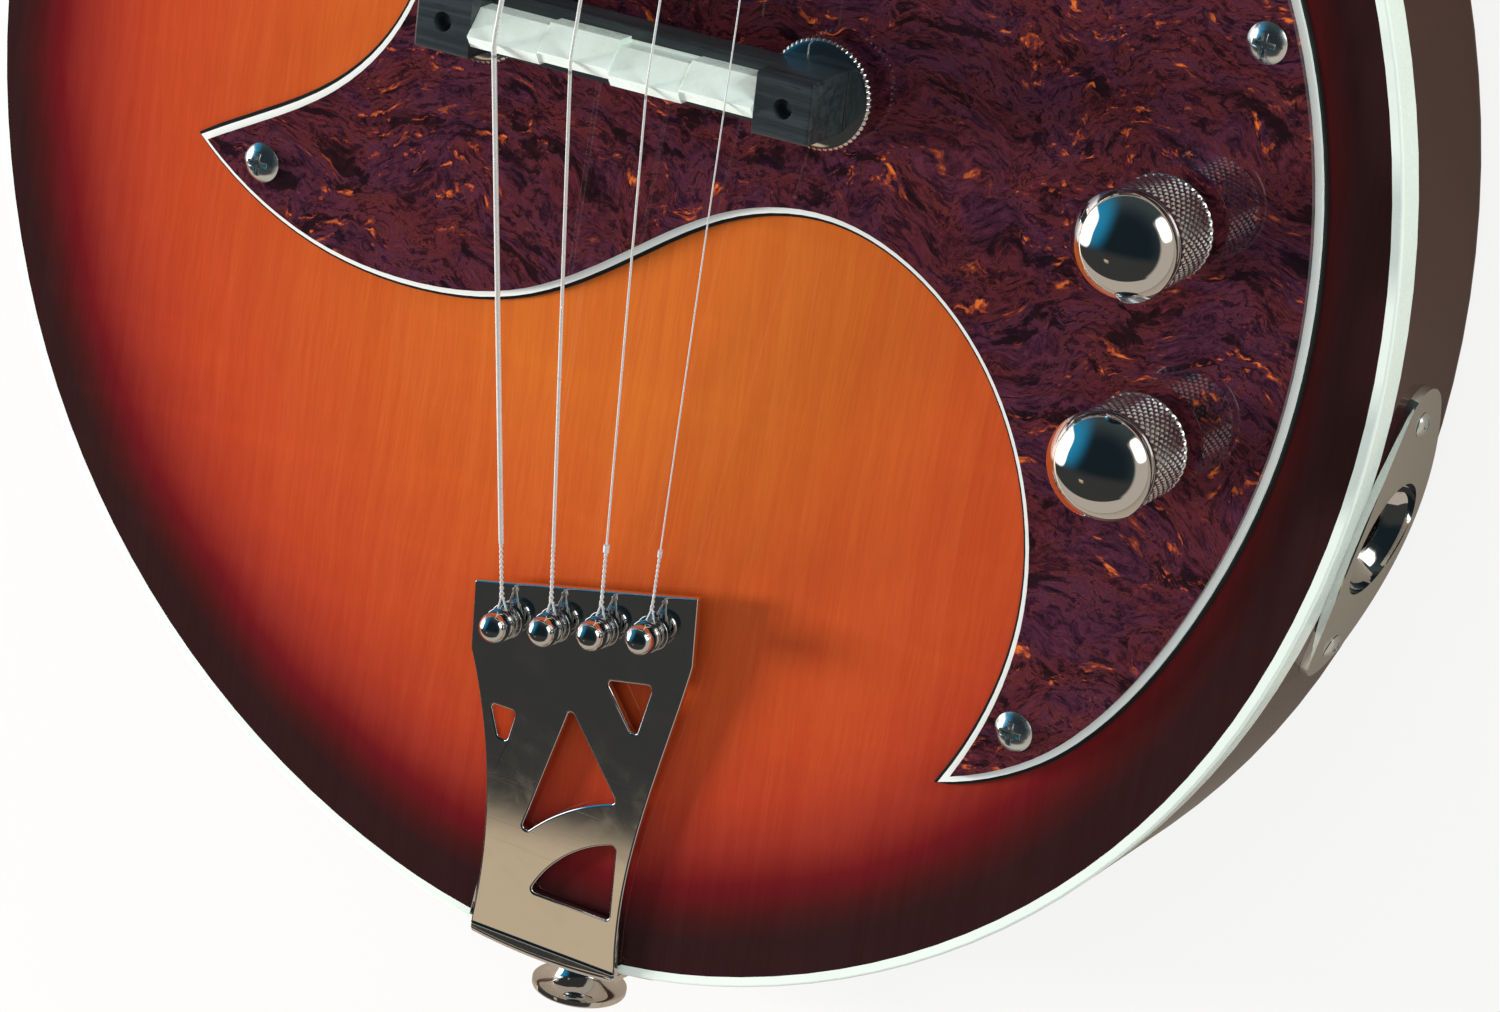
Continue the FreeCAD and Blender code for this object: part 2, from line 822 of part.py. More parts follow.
def guard_openings():
    shapes = []
    low = face_z - overrun
    tall = guard_top_z - face_z + 2 * overrun
    for x, y in stud_places():
        shapes.append(cylinder(stud_radius + guard_stud_clearance, tall, x, y, low))
    for x, y in guard_screw_places():
        shapes.append(cylinder(screw_shaft_radius + screw_hole_clearance, tall, x, y, low))
    for x, y in ring_screw_places():
        small = screw_shaft_radius * small_screw_scale_share + screw_hole_clearance
        shapes.append(cylinder(small, tall, x, y, low))
    for name in knob_x:
        collar = pot_collar_radius + screw_hole_clearance
        shapes.append(cylinder(collar, tall, knob_x[name], knob_y[name], low))
    shapes.append(rounded_box(ring_half_length() - pickup_ring_margin + pickup_travel_clearance,
                              pickup_half_width + pickup_travel_clearance, pickup_corner,
                              low, low + tall, 0.0, pickup_centre_y))
    shapes.append(neck_plan(low, low + tall))
    shapes.append(moved(neck_plan(low, low + tall), 0, -guard_neck_gap, 0))
    return shapes


def make_guard():
    outline = guard_wire()
    levels = [("pickguard_black_ply", 0.0, black_ply_thickness),
              ("pickguard_white_ply", white_ply_inset, white_ply_thickness),
              ("pickguard_top_ply", top_ply_inset, top_ply_thickness)]
    z = face_z
    for name, inset, thickness in levels:
        face = Part.Face(outline)
        if inset > 0:
            face = face.makeOffset2D(-inset).toNurbs()
        ply = face.extrude(Vector(0, 0, thickness))
        ply.translate(Vector(0, 0, z))
        save(name, ply.cut(guard_openings()))
        z += thickness


# Bridge

def make_bridge():
    low = face_z + bridge_bottom_over_face
    top = face_z + bridge_block_top_over_face
    rail_top = face_z + bridge_rail_top_over_face
    bar = box(-bridge_half_length, bridge_half_length, -bridge_half_width, bridge_half_width, low, rail_top)
    for side in (-1, 1):
        x0, x1 = sorted((side * bridge_block_inner, side * bridge_half_length))
        bar = bar.fuse(box(x0, x1, -bridge_half_width, bridge_half_width, low, top))
    bar = bar.removeSplitter()
    slot = box(-bridge_block_inner, bridge_block_inner, -saddle_half_width, saddle_half_width,
               rail_top - saddle_slot_depth, rail_top + overrun)
    bar = bar.cut(slot)
    rims = [e for e in bar.Edges if abs(e.CenterOfMass.x) > bridge_block_inner + running_clearance]
    bar = bar.makeFillet(bridge_edge_round, rims)
    for side in (-1, 1):
        bar = bar.cut(cylinder(stud_radius + running_clearance, top - low + 2 * overrun,
                               side * stud_spacing / 2, 0, low - overrun))
    save("bridge_bar", on_bridge(bar))
    make_saddle(rail_top)
    studs = [cylinder(stud_radius, stud_depth + stud_top_over_face, x, y, face_z - stud_depth)
             for x, y in stud_places()]
    save("bridge_studs", Part.makeCompound(studs))
    inner = wheel_radius - wheel_knurl_depth
    wheel = extrude(star_wire(wheel_radius, inner, wheel_knurl_count), 0.0, wheel_height)
    envelope = revolve([(0, 0), (inner, 0), (wheel_radius, wheel_knurl_depth),
                        (wheel_radius, wheel_height - wheel_knurl_depth), (inner, wheel_height),
                        (0, wheel_height)])
    wheel = wheel.common(envelope)
    wheel = wheel.cut(cylinder(stud_radius + running_clearance, wheel_height + 2 * overrun, 0, 0, -overrun))
    z = low - wheel_height - running_clearance
    for name, place in zip(("bass", "treble"), stud_places()):
        save("bridge_wheel_" + name, moved(wheel, place[0], place[1], z))


def make_saddle(rail_top):
    # four facets sloping up to the tail, each moved a little for its string
    low = rail_top - saddle_slot_depth
    step = 2 * bridge_block_inner / len(saddle_offsets)
    foot = box(-bridge_block_inner, bridge_block_inner, -saddle_half_width, saddle_half_width, low, rail_top)
    pieces = [foot]
    for k, offset in enumerate(saddle_offsets):
        back, front = offset - saddle_half_width, offset + saddle_half_width
        corners = [(back, rail_top), (front, rail_top), (front, face_z + saddle_neck_edge_over_face),
                   (offset + saddle_ridge, string_z_at_bridge - saddle_ridge_drop),
                   (back, face_z + saddle_tail_edge_over_face)]
        x0 = -bridge_block_inner + k * step
        wire = Part.makePolygon([Vector(x0, y, z) for y, z in corners + [corners[0]]])
        pieces.append(Part.Face(wire).extrude(Vector(step, 0, 0)))
    save("bridge_saddle", on_bridge(pieces[0].fuse(pieces[1:]).removeSplitter()))


# Tailpiece, pegs and strap buttons

def tail_point(share):
    return Vector(share[0] * half_width, share[1] * bridge_to_tail - tail_zone_start, 0)


def tail_plate_angle():
    return math.degrees(math.atan2(tail_plate_rise, bridge_to_tail - tail_zone_start))


def lift_tail(shape):
    # the plate rises from the rim towards the bridge
    copy = shape.copy()
    copy.rotate(Vector(0, -bridge_to_tail, 0), Vector(1, 0, 0), tail_plate_angle())
    copy.translate(Vector(0, 0, face_z))
    return copy


def tail_window(shares, bowed):
    # closed window; where bowed is set, that corner is the middle of an arc
    places = [tail_point(s) for s in shares]
    edges = []
    k = 0
    while k < len(places):
        after = places[(k + 1) % len(places)]
        if bowed == (k + 1) % len(places):
            end = places[(k + 2) % len(places)]
            edges.append(Part.Arc(places[k], after, end).toShape())
            k += 2
        else:
            edges.append(Part.LineSegment(places[k], after).toShape())
            k += 1
    solid = extrude(Part.Wire(edges), -overrun, tail_plate_thickness + overrun)
    upright = [e for e in solid.Edges if abs(e.Vertexes[0].Z - e.Vertexes[-1].Z) > overrun]
    return solid.makeFillet(tail_window_round, upright)


def peg_place(index):
    x = (index - 1.5) * string_spacing_at_pegs
    return Vector(x, -bridge_to_tail + peg_line_over_tail + peg_line_slope * x, tail_plate_thickness)


def peg_groove(index):
    # where the string's loop lies
    lift = Vector(0, 0, peg_collar_height + peg_stem_height + peg_groove_height / 2)
    return lift_tail(Part.Vertex(peg_place(index) + lift)).Vertexes[0].Point


def tail_plan():
    left = [tail_point(s) for s in tail_plate_shares]
    right = [tail_point(s) for s in tail_plate_right_shares]
    drop = Vector(0, -bridge_to_tail - 2 * tail_plate_thickness - left[-1].y, 0)
    low_left, low_right = left[-1] + drop, right[-1] + drop
    edges = [Part.LineSegment(left[0], right[0]).toShape(), Part.LineSegment(right[0], right[1]).toShape(),
             spline(right[1:]), Part.LineSegment(right[-1], low_right).toShape(),
             Part.LineSegment(low_right, low_left).toShape(), Part.LineSegment(low_left, left[-1]).toShape(),
             spline(left[1:]), Part.LineSegment(left[1], left[0]).toShape()]
    return Part.Wire(Part.__sortEdges__(edges)), low_left.x, low_right.x


def tail_wrap(x0, x1):
    # flange down the side wall with an ear on either side, following the wall
    outer = extrude(body_wire(-tail_plate_thickness), 0.0, face_z + tail_plate_thickness)
    shell = outer.cut(extrude(body_wire(0.0), -overrun, face_z))
    y0 = -bridge_to_tail - 2 * tail_plate_thickness
    y1 = -bridge_to_tail + 2 * tail_plate_thickness
    upper = box(x0, x1, y0, y1, face_z - tail_flange_depth, face_z + tail_plate_thickness)
    band = (tail_flange_depth - tail_ear_drop) / 2
    ears = rounded_box(tail_ear_half_width, band, tail_flange_corner, -3 * tail_plate_thickness,
                       2 * tail_plate_thickness)
    ears = on_side(moved(ears, tail_ear_centre_x, 0, 0), 0.0, face_z - tail_ear_drop - band)
    return shell.common(upper.fuse(ears)).common(box(-2 * tail_ear_half_width, 2 * tail_ear_half_width, y0,
                                                     y1 + tail_plate_thickness, 0, 2 * face_z))


def make_tailpiece():
    plan, x0, x1 = tail_plan()
    plate = extrude(plan, 0.0, tail_plate_thickness)
    for shares, bowed in ((tail_window_big_shares, 2), (tail_window_low_shares, 3),
                          (tail_window_right_shares, None), (tail_window_left_shares, None)):
        plate = plate.cut(tail_window(shares, bowed))
    for k in range(len(string_names)):
        place = peg_place(k)
        plate = plate.cut(cylinder(peg_radius, screw_length, place.x, place.y, -screw_length / 2))
    plate = lift_tail(plate).fuse(tail_wrap(x0, x1)).cut(extrude(body_wire(0.0), -overrun, face_z))
    limit = extrude(body_wire(-tail_plate_thickness), 0.0, face_z + tail_plate_thickness)
    rim = [e for e in limit.Edges if min(v.Z for v in e.Vertexes) > face_z]
    limit = limit.makeFillet(tail_bend_radius, rim)
    inland = box(-2 * tail_ear_half_width, 2 * tail_ear_half_width, -bridge_to_tail + tail_bend_radius, 0,
                 0, 2 * face_z)
    plate = plate.common(limit.fuse(inland)).removeSplitter()
    holes = [round_the_tail(small_screw_hole(), heading) for heading in tail_screw_headings()]
    hole = cylinder(strap_screw_radius + screw_hole_clearance, screw_length,
                    tail_button_x, 0, -screw_length / 2)
    holes.append(on_side(hole, 0.0, strap_button_height))
    save("tailpiece_plate", plate.cut(holes))


def make_pegs():
    pegs = []
    base = peg_collar_height
    groove = base + peg_stem_height
    head = groove + peg_groove_height
    peg = revolve([(0, -tail_plate_thickness), (peg_radius, -tail_plate_thickness), (peg_radius, 0),
                   (peg_collar_radius, 0), (peg_collar_radius, base), (peg_radius, base),
                   (peg_radius, groove), (peg_groove_radius, groove), (peg_groove_radius, head), (0, head)])
    ball = Part.makeSphere(peg_head_radius, Vector(0, 0, head + peg_head_radius / 2))
    below = cylinder(2 * peg_head_radius, peg_head_radius, 0, 0, head - peg_head_radius)
    peg = peg.fuse(ball.cut(below)).removeSplitter()
    for k in range(len(string_names)):
        place = peg_place(k)
        pegs.append(lift_tail(moved(peg, place.x, place.y, place.z)))
    save("string_pegs", Part.makeCompound(pegs))


def strap_button():
    # round button whose neck flares in an arc to its flange; its base is on z = 0
    bore = strap_screw_radius + screw_hole_clearance
    seat = strap_button_head_radius + screw_hole_clearance
    lip = strap_button_length - strap_button_lip
    waist = strap_button_waist_top
    slant = (1.0 - math.sqrt(0.5)) * (strap_button_flange_radius - strap_button_neck_radius)
    flare = Part.Arc(Vector(strap_button_neck_radius, 0, waist),
                     Vector(strap_button_neck_radius + slant, 0, waist + (lip - waist) * math.sqrt(0.5)),
                     Vector(strap_button_flange_radius, 0, lip)).toShape()
    corners = [(strap_button_flange_radius, lip), (strap_button_flange_radius, strap_button_length),
               (seat, strap_button_length), (seat, strap_button_length - strap_screw_head_height),
               (bore, strap_button_length - strap_screw_head_height), (bore, 0),
               (strap_button_base_radius, 0), (strap_button_neck_radius, strap_button_waist_base),
               (strap_button_neck_radius, waist)]
    rest = Part.makePolygon([Vector(r, 0, z) for r, z in corners])
    face = Part.Face(Part.Wire([flare] + rest.Edges))
    return face.revolve(Vector(0, 0, 0), Vector(0, 0, 1), 360)


def strap_screw():
    head_base = strap_button_length - strap_screw_head_height
    head = cylinder(strap_button_head_radius, strap_screw_head_height, 0, 0, head_base)
    rim = [e for e in head.Edges if min(v.Z for v in e.Vertexes) > head_base]
    head = head.makeFillet(binding_round, rim)
    half = cross_length / 2
    arm = cross_width / 2
    deep = strap_button_length - cross_depth
    head = head.cut(box(-half, half, -arm, arm, deep, strap_button_length + overrun))
    head = head.cut(box(-arm, arm, -half, half, deep, strap_button_length + overrun))
    shaft = cylinder(strap_screw_radius, strap_screw_length + head_base, 0, 0, -strap_screw_length)
    return head.fuse(shaft).removeSplitter()


def make_strap_buttons():
    tail = moved(strap_button(), tail_button_x, 0, tail_plate_thickness)
    tail_screw = moved(strap_screw(), tail_button_x, 0, tail_plate_thickness)
    buttons = [on_side(tail, 0.0, strap_button_height),
               on_side(strap_button(), neck_button_heading, strap_button_height, -1.0)]
    screws = [on_side(tail_screw, 0.0, strap_button_height),
              on_side(strap_screw(), neck_button_heading, strap_button_height, -1.0)]
    save("strap_buttons", Part.makeCompound(buttons))
    save("strap_screws", Part.makeCompound(screws))


# Jack

def make_jack():
    floor_top = -jack_dish_depth
    floor_low = floor_top - jack_dish_wall
    prism = extrude(oval_wire(jack_plate_half_length, jack_plate_half_height, jack_plate_end_radius),
                    -jack_bore_depth / 2, jack_bore_depth / 2)
    prism = on_side(prism, jack_heading, jack_height)
    shell = extrude(body_wire(-jack_plate_thickness), 0.0, body_thickness)
    shell = shell.cut(extrude(body_wire(0.0), -overrun, body_thickness + overrun))
    plate = shell.common(prism)
    dish = revolve([(0, floor_low), (jack_dish_floor_radius + jack_dish_wall, floor_low),
                    (jack_dish_radius + jack_dish_wall, 0), (0, 0)])
    hollow = revolve([(0, floor_top), (jack_dish_floor_radius, floor_top), (jack_dish_radius, 0),
                      (jack_dish_radius, jack_bore_depth), (0, jack_bore_depth)])
    hole = cylinder(jack_sleeve_radius + sleeve_wall_gap, jack_bore_depth, 0, 0, -jack_bore_depth / 2)
    plate = plate.fuse(on_side(dish, jack_heading, jack_height))
    plate = plate.cut(on_side(hollow.fuse(hole), jack_heading, jack_height))
    for heading in jack_screw_headings():
        plate = plate.cut(on_side(small_screw_hole(), heading, jack_height))
    save("jack_plate", plate.removeSplitter())
    flange_low = floor_low - jack_flange_height
    socket = cylinder(jack_flange_radius, jack_flange_height, 0, 0, flange_low)
    socket = socket.fuse(cylinder(jack_sleeve_radius, jack_sleeve_reach + jack_dish_wall, 0, 0, floor_low))
    arm_low = flange_low - jack_arm_length
    arm = box(-jack_flange_radius, -jack_flange_radius + jack_arm_thickness, -jack_arm_width / 2,
              jack_arm_width / 2, arm_low, floor_low)
    socket = socket.fuse(arm).cut(cylinder(plug_hole_radius, jack_bore_depth, 0, 0, -jack_bore_depth))
    save("jack_socket", on_side(socket.removeSplitter(), jack_heading, jack_height))
    inner = -jack_flange_radius + jack_arm_thickness
    foot = box(inner, plug_hole_radius, -jack_spring_width / 2, jack_spring_width / 2,
               arm_low, arm_low + jack_insulator_height)
    leaf = box(plug_hole_radius, plug_hole_radius + jack_spring_thickness, -jack_spring_width / 2,
               jack_spring_width / 2, arm_low, arm_low + jack_arm_length * 2 / 3)
    save("jack_contacts", on_side(foot.fuse(leaf).removeSplitter(), jack_heading, jack_height))
    nut = hexagon(jack_nut_flats, jack_nut_height, floor_top)
    nut = nut.cut(cylinder(jack_sleeve_radius, jack_bore_depth, 0, 0, -jack_bore_depth / 2))
    return on_side(nut, jack_heading, jack_height)


# Controls

def make_controls(jack_nut):
    plate_low = face_z
    nuts = [jack_nut]
    for name in knob_x:
        x, y = knob_x[name], knob_y[name]
        collar_top = guard_top_z + panel_washer_height + panel_nut_height + panel_gap
        case_top = plate_low - panel_gap
        case_low = case_top - pot_case_height
        pot = cylinder(pot_case_radius, pot_case_height, 0, 0, case_low)
        pot = pot.fuse(cylinder(pot_collar_radius, collar_top - case_top, 0, 0, case_top))
        for k in (-1, 0, 1):
            lug_x = k * 2 * pot_lug_width
            lug_low = case_top - pot_wall
            pot = pot.fuse(box(lug_x - pot_lug_width / 2, lug_x + pot_lug_width / 2,
                               -pot_case_radius - pot_lug_length, -pot_case_radius + pot_wall,
                               lug_low, lug_low + pot_lug_thickness))
        foot_low = case_low + pot_wall
        well = cylinder(shaft_foot_radius + shaft_clearance, shaft_foot_height + 2 * shaft_clearance, 0, 0,
                        foot_low - shaft_clearance)
        bore = cylinder(shaft_radius + shaft_clearance, collar_top - foot_low + overrun, 0, 0, foot_low)
        save(name + "_pot", moved(pot.cut([well, bore]).removeSplitter(), x, y, 0))
        knob_low = collar_top + knob_gap_over_nut
        shaft = cylinder(shaft_radius, knob_low + shaft_in_knob - foot_low, 0, 0, foot_low)
        shaft = shaft.fuse(cylinder(shaft_foot_radius, shaft_foot_height, 0, 0, foot_low)).removeSplitter()
        save(name + "_shaft", moved(shaft, x, y, 0))
        save(name + "_knob", moved(knob(), x, y, knob_low))
        washer = cylinder(panel_washer_radius, panel_washer_height, 0, 0, guard_top_z)
        nut = washer.fuse(hexagon(panel_nut_flats, panel_nut_height, guard_top_z + panel_washer_height))
        nut = nut.cut(cylinder(pot_collar_radius, jack_bore_depth, 0, 0, guard_top_z - overrun))
        nuts.append(moved(nut.removeSplitter(), x, y, 0))
    save("panel_nuts", Part.makeCompound(nuts))


def knob():
    # knurled barrel, a groove, and a dome; base on z = 0
    inner = knob_radius - knurl_depth
    barrel = extrude(star_wire(knob_radius, inner, knob_knurl_count), 0.0,
                     knob_barrel_height - knob_groove_width)
    neck = cylinder(knob_radius - knob_groove_depth, knob_groove_width, 0, 0,
                    knob_barrel_height - knob_groove_width)
    ball = (knob_radius ** 2 + knob_dome_rise ** 2) / (2 * knob_dome_rise)
    dome = Part.makeSphere(ball, Vector(0, 0, knob_barrel_height + knob_dome_rise - ball))
    dome = dome.common(cylinder(knob_radius, knob_dome_rise, 0, 0, knob_barrel_height))
    solid = barrel.fuse([neck, dome]).removeSplitter()
    return solid.cut(cylinder(shaft_radius, shaft_in_knob + overrun, 0, 0, -overrun))


def make_wiring():
    # capacitor under the tone pot; leads pot to pot, to the jack and from the pickup
    case_low = face_z - panel_gap - pot_case_height
    vol = Vector(knob_x["volume"], knob_y["volume"], case_low)
    ton = Vector(knob_x["tone"], knob_y["tone"], case_low)
    cap = Part.makeCylinder(capacitor_radius, capacitor_length,
                            Vector(ton.x - capacitor_length / 2, ton.y, case_low - capacitor_radius),
                            Vector(1, 0, 0))
    save("tone_capacitor", cap)
    under = Vector(0, 0, -wire_radius)
    reach = Vector(0, pot_case_radius / 2, 0)
    lead = [vol - reach + under, (vol + ton) * 0.5 + under, ton + reach * 1.5 + under]
    wires = [tube(tangent_path(lead, [wire_bend_radius]), wire_radius)]
    foot_low = -jack_reach
    foot = Part.Vertex(Vector(-wire_bend_radius / 4, 0, foot_low))
    end = on_side(foot, jack_heading, jack_height).Vertexes[0].Point
    aside = pot_case_radius * wire_start_share
    start = Vector(ton.x - aside, ton.y - aside, case_low)
    corner = Vector(start.x, start.y, end.z)
    wires.append(tube(tangent_path([start, corner, end], [wire_bend_radius / 2]), wire_radius))
    lead_z = pickup_cavity_floor + wire_radius
    start = Vector(pickup_half_length / 2, pickup_centre_y, lead_z)
    corner = Vector(vol.x, vol.y, lead_z)
    wires.append(tube(tangent_path([start, corner, vol], [wire_bend_radius]), wire_radius))
    save("hookup_wires", Part.makeCompound(wires))


# Neck, fingerboard, frets, nut, truss rod

def neck_section(y, half, depth):
    top = -fingerboard_thickness
    a = Vector(-half, y, top)
    b = Vector(0, y, top - depth)
    c = Vector(half, y, top)
    return Part.Wire([Part.Arc(a, b, c).toShape(), Part.LineSegment(c, a).toShape()])


def headstock():
    y0 = scale_length
    flare = y0 + nut_thickness + headstock_shoulder
    tip = y0 + nut_thickness + headstock_length
    half = nut_width / 2
    bend = Vector((half + headstock_half_width) / 2 - headstock_crown / 2, (nut_back + flare) / 2, 0)
    right = [Vector(half, y0, 0), Vector(half, nut_back, 0), bend, Vector(headstock_half_width, flare, 0),
             Vector(headstock_tip_half_width, tip - headstock_crown, 0)]
    left = [Vector(-p.x, p.y, 0) for p in right]
    edges = [Part.LineSegment(a, b).toShape()
             for a, b in ((left[0], right[0]), (right[0], right[1]), (right[3], right[4]),
                          (left[4], left[3]), (left[1], left[0]))]
    edges += [Part.Arc(a, b, c).toShape()
              for a, b, c in ((right[1], right[2], right[3]), (right[4], Vector(0, tip, 0), left[4]),
                              (left[3], left[2], left[1]))]
    edges = Part.__sortEdges__(edges)
    plate = extrude(Part.Wire(edges), headstock_bottom, headstock_top)
    block = box(-half, half, y0, nut_back, headstock_top, -fingerboard_thickness)
    return plate.fuse(block)


def heel():
    # block in the body's pocket, curving up to the neck behind the body
    top = fingerboard_z_at_bridge
    neck_low = neck_point(0, body_end + heel_reach, -fingerboard_thickness - neck_depth).z
    y1 = body_end + heel_reach
    corner = y1 - heel_curve_radius
    slant = math.sqrt(0.5)
    low = max(heel_floor, neck_low - heel_curve_radius)
    points = [Vector(0, heel_start, heel_floor), Vector(0, corner, heel_floor), Vector(0, corner, low),
              Vector(0, y1, neck_low), Vector(0, y1, top), Vector(0, heel_start, top)]
    edges = []
    if low > heel_floor:
        edges.append(Part.LineSegment(points[1], points[2]).toShape())
    edges.append(Part.LineSegment(points[0], points[1]).toShape())
    centre = Vector(0, y1, neck_low - heel_curve_radius)
    arc_mid = centre + Vector(0, -heel_curve_radius * slant, heel_curve_radius * slant)
    edges.append(Part.Arc(points[2], arc_mid, points[3]).toShape())
    for k in (3, 4):
        edges.append(Part.LineSegment(points[k], points[k + 1]).toShape())
    edges.append(Part.LineSegment(points[5], points[0]).toShape())
    wire = Part.Wire(Part.__sortEdges__(edges))
    side = Part.Face(wire).extrude(Vector(fingerboard_width_at_end, 0, 0))
    side.translate(Vector(-fingerboard_width_at_end / 2, 0, 0))
    return side.common(neck_plan(0.0, top))


def make_neck():
    y_low = body_end - heel_reach
    y_high = nut_back
    shaft = Part.makeLoft([neck_section(y_low, board_half_width(y_low), neck_depth + back_edge_round / 2),
                           neck_section(y_high, nut_width / 2, neck_depth)], True, True)
    wood = on_neck(shaft.fuse(headstock()))
    wood = wood.fuse(heel())
    above = on_neck(box(-headstock_half_width, headstock_half_width, 0, scale_length, -fingerboard_thickness,
                        body_thickness))
    wood = wood.cut(above)
    rod_z = -fingerboard_thickness - truss_rod_depth
    pocket_end = nut_back + truss_pocket_length
    channel = Part.makeCylinder(truss_rod_radius + truss_gap, pocket_end - truss_rod_start,
                                Vector(0, truss_rod_start, rod_z), Vector(0, 1, 0))
    pocket = box(-truss_pocket_half_width, truss_pocket_half_width, nut_back, pocket_end,
                 headstock_top - truss_pocket_depth, headstock_top + overrun)
    cuts = [on_neck(channel), on_neck(pocket)]
    for x, y in neck_screw_places():
        cuts.append(moved(neck_screw_blank(), x, y, 0.0))
    for k in range(len(string_names)):
        x, y = post_place(k)
        hole = cylinder(ferrule_radius, headstock_thickness + 2 * overrun, x, y, headstock_bottom - overrun)
        cuts.append(on_neck(hole))
    cuts += [on_neck(s) for s in truss_cover_screws(0.0)]
    cuts += [on_neck(s) for s in tuner_screws()]
    wood = wood.cut(cuts).removeSplitter()
    save("neck", wood)
    rod = Part.makeCylinder(truss_rod_radius, nut_back - truss_rod_start + truss_gap,
                            Vector(0, truss_rod_start, rod_z), Vector(0, 1, 0))
    nut = Part.makeCylinder(truss_nut_radius, truss_nut_length, Vector(0, nut_back + truss_gap, rod_z),
                            Vector(0, 1, 0))
    save("truss_rod", on_neck(rod.fuse(nut).removeSplitter()))
    make_board()
    make_nut()
    make_truss_cover()


def dot_places():
    places = []
    for number in dot_frets:
        y = (fret_y(number) + fret_y(number - 1)) / 2
        if number == double_dot_fret:
            places += [(-board_half_width(y) / 2, y), (board_half_width(y) / 2, y)]
        else:
            places.append((0.0, y))
    return places


def make_board():
    wide = board_half_width(fingerboard_end)
    narrow = board_half_width(scale_length)
    points = [(-wide, fingerboard_end), (wide, fingerboard_end),
              (narrow, scale_length), (-narrow, scale_length)]
    board = extrude(polygon(points), -fingerboard_thickness, 0.0)
    frets = []
    slots = []
    for number in range(1, fret_count + 1):
        y = fret_y(number)
        reach = board_half_width(y) - fret_inset
        crown = Part.makeCylinder(fret_crown_radius, 2 * reach, Vector(-reach, y, 0), Vector(1, 0, 0))
        crown = crown.cut(box(-2 * reach, 2 * reach, y - 2 * fret_crown_radius, y + 2 * fret_crown_radius,
                              -2 * fret_crown_radius, 0))
        tang = box(-reach, reach, y - fret_tang_width / 2, y + fret_tang_width / 2, -fret_tang_depth, 0)
        frets.append(on_neck(crown.fuse(tang).removeSplitter()))
        slots.append(box(-2 * reach, 2 * reach, y - fret_tang_width / 2, y + fret_tang_width / 2,
                         -fret_tang_depth, overrun))
    markers = []
    for x, y in dot_places():
        markers.append(cylinder(dot_radius, dot_depth, x, y, -dot_depth))
        side = Vector(screw_hole_clearance - board_half_width(y), y, -fingerboard_thickness / 2)
        markers.append(Part.makeCylinder(small_dot_radius, dot_depth, side, Vector(1, 0, 0)))
    board = board.cut(slots).cut(markers)
    save("fingerboard", on_neck(board))
    save("frets", Part.makeCompound(frets))
    save("fret_markers", Part.makeCompound([on_neck(m) for m in markers]))


def make_nut():
    half = nut_width / 2
    block = box(-half, half, scale_length, nut_back, -fingerboard_thickness, nut_rise)
    for k, name in enumerate(string_names):
        radius = string_radii[name]
        x = (k - 1.5) * string_spacing_at_nut
        reach = radius + string_seat_gap
        z = nut_seat + radius
        start = Vector(x, scale_length - overrun, z)
        end = Vector(x, nut_back + overrun, z)
        block = block.cut(rod_between(start, end, reach))
        block = block.cut(box(x - reach, x + reach, start.y, end.y, z, nut_rise + overrun))
    save("nut", on_neck(block))


def truss_cover_screws(clearance):
    radius = screw_shaft_radius * small_screw_scale_share + clearance
    length = screw_length * small_screw_scale_share
    top = headstock_top + truss_cover_thickness
    return [cylinder(radius, length, x, y, top - length) for x, y in truss_cover_screw_places()]


def truss_cover_screw_places():
    inset = truss_cover_screw_inset
    return [(-truss_cover_half_width + inset, nut_back + inset + truss_gap),
            (truss_cover_half_width - inset, nut_back + inset + truss_gap),
            (0.0, nut_back + truss_cover_length - inset)]


def make_truss_cover():
    y0 = nut_back + truss_gap
    y1 = nut_back + truss_cover_length
    half, tip = truss_cover_half_width, truss_cover_tip_half_width
    pinch = Vector((half + tip) / 2 - truss_gap * tip, (y0 + y1) / 2, 0)
    edges = [Part.LineSegment(Vector(-half, y0, 0), Vector(half, y0, 0)).toShape(),
             Part.Arc(Vector(half, y0, 0), pinch, Vector(tip, y1 - tip, 0)).toShape(),
             Part.Arc(Vector(tip, y1 - tip, 0), Vector(0, y1, 0), Vector(-tip, y1 - tip, 0)).toShape(),
             Part.Arc(Vector(-tip, y1 - tip, 0), Vector(-pinch.x, pinch.y, 0),
                      Vector(-half, y0, 0)).toShape()]
    cover = extrude(Part.Wire(edges), headstock_top, headstock_top + truss_cover_thickness)
    cover = cover.cut(truss_cover_screws(screw_hole_clearance))
    save("truss_rod_cover", on_neck(cover))


# Pickup

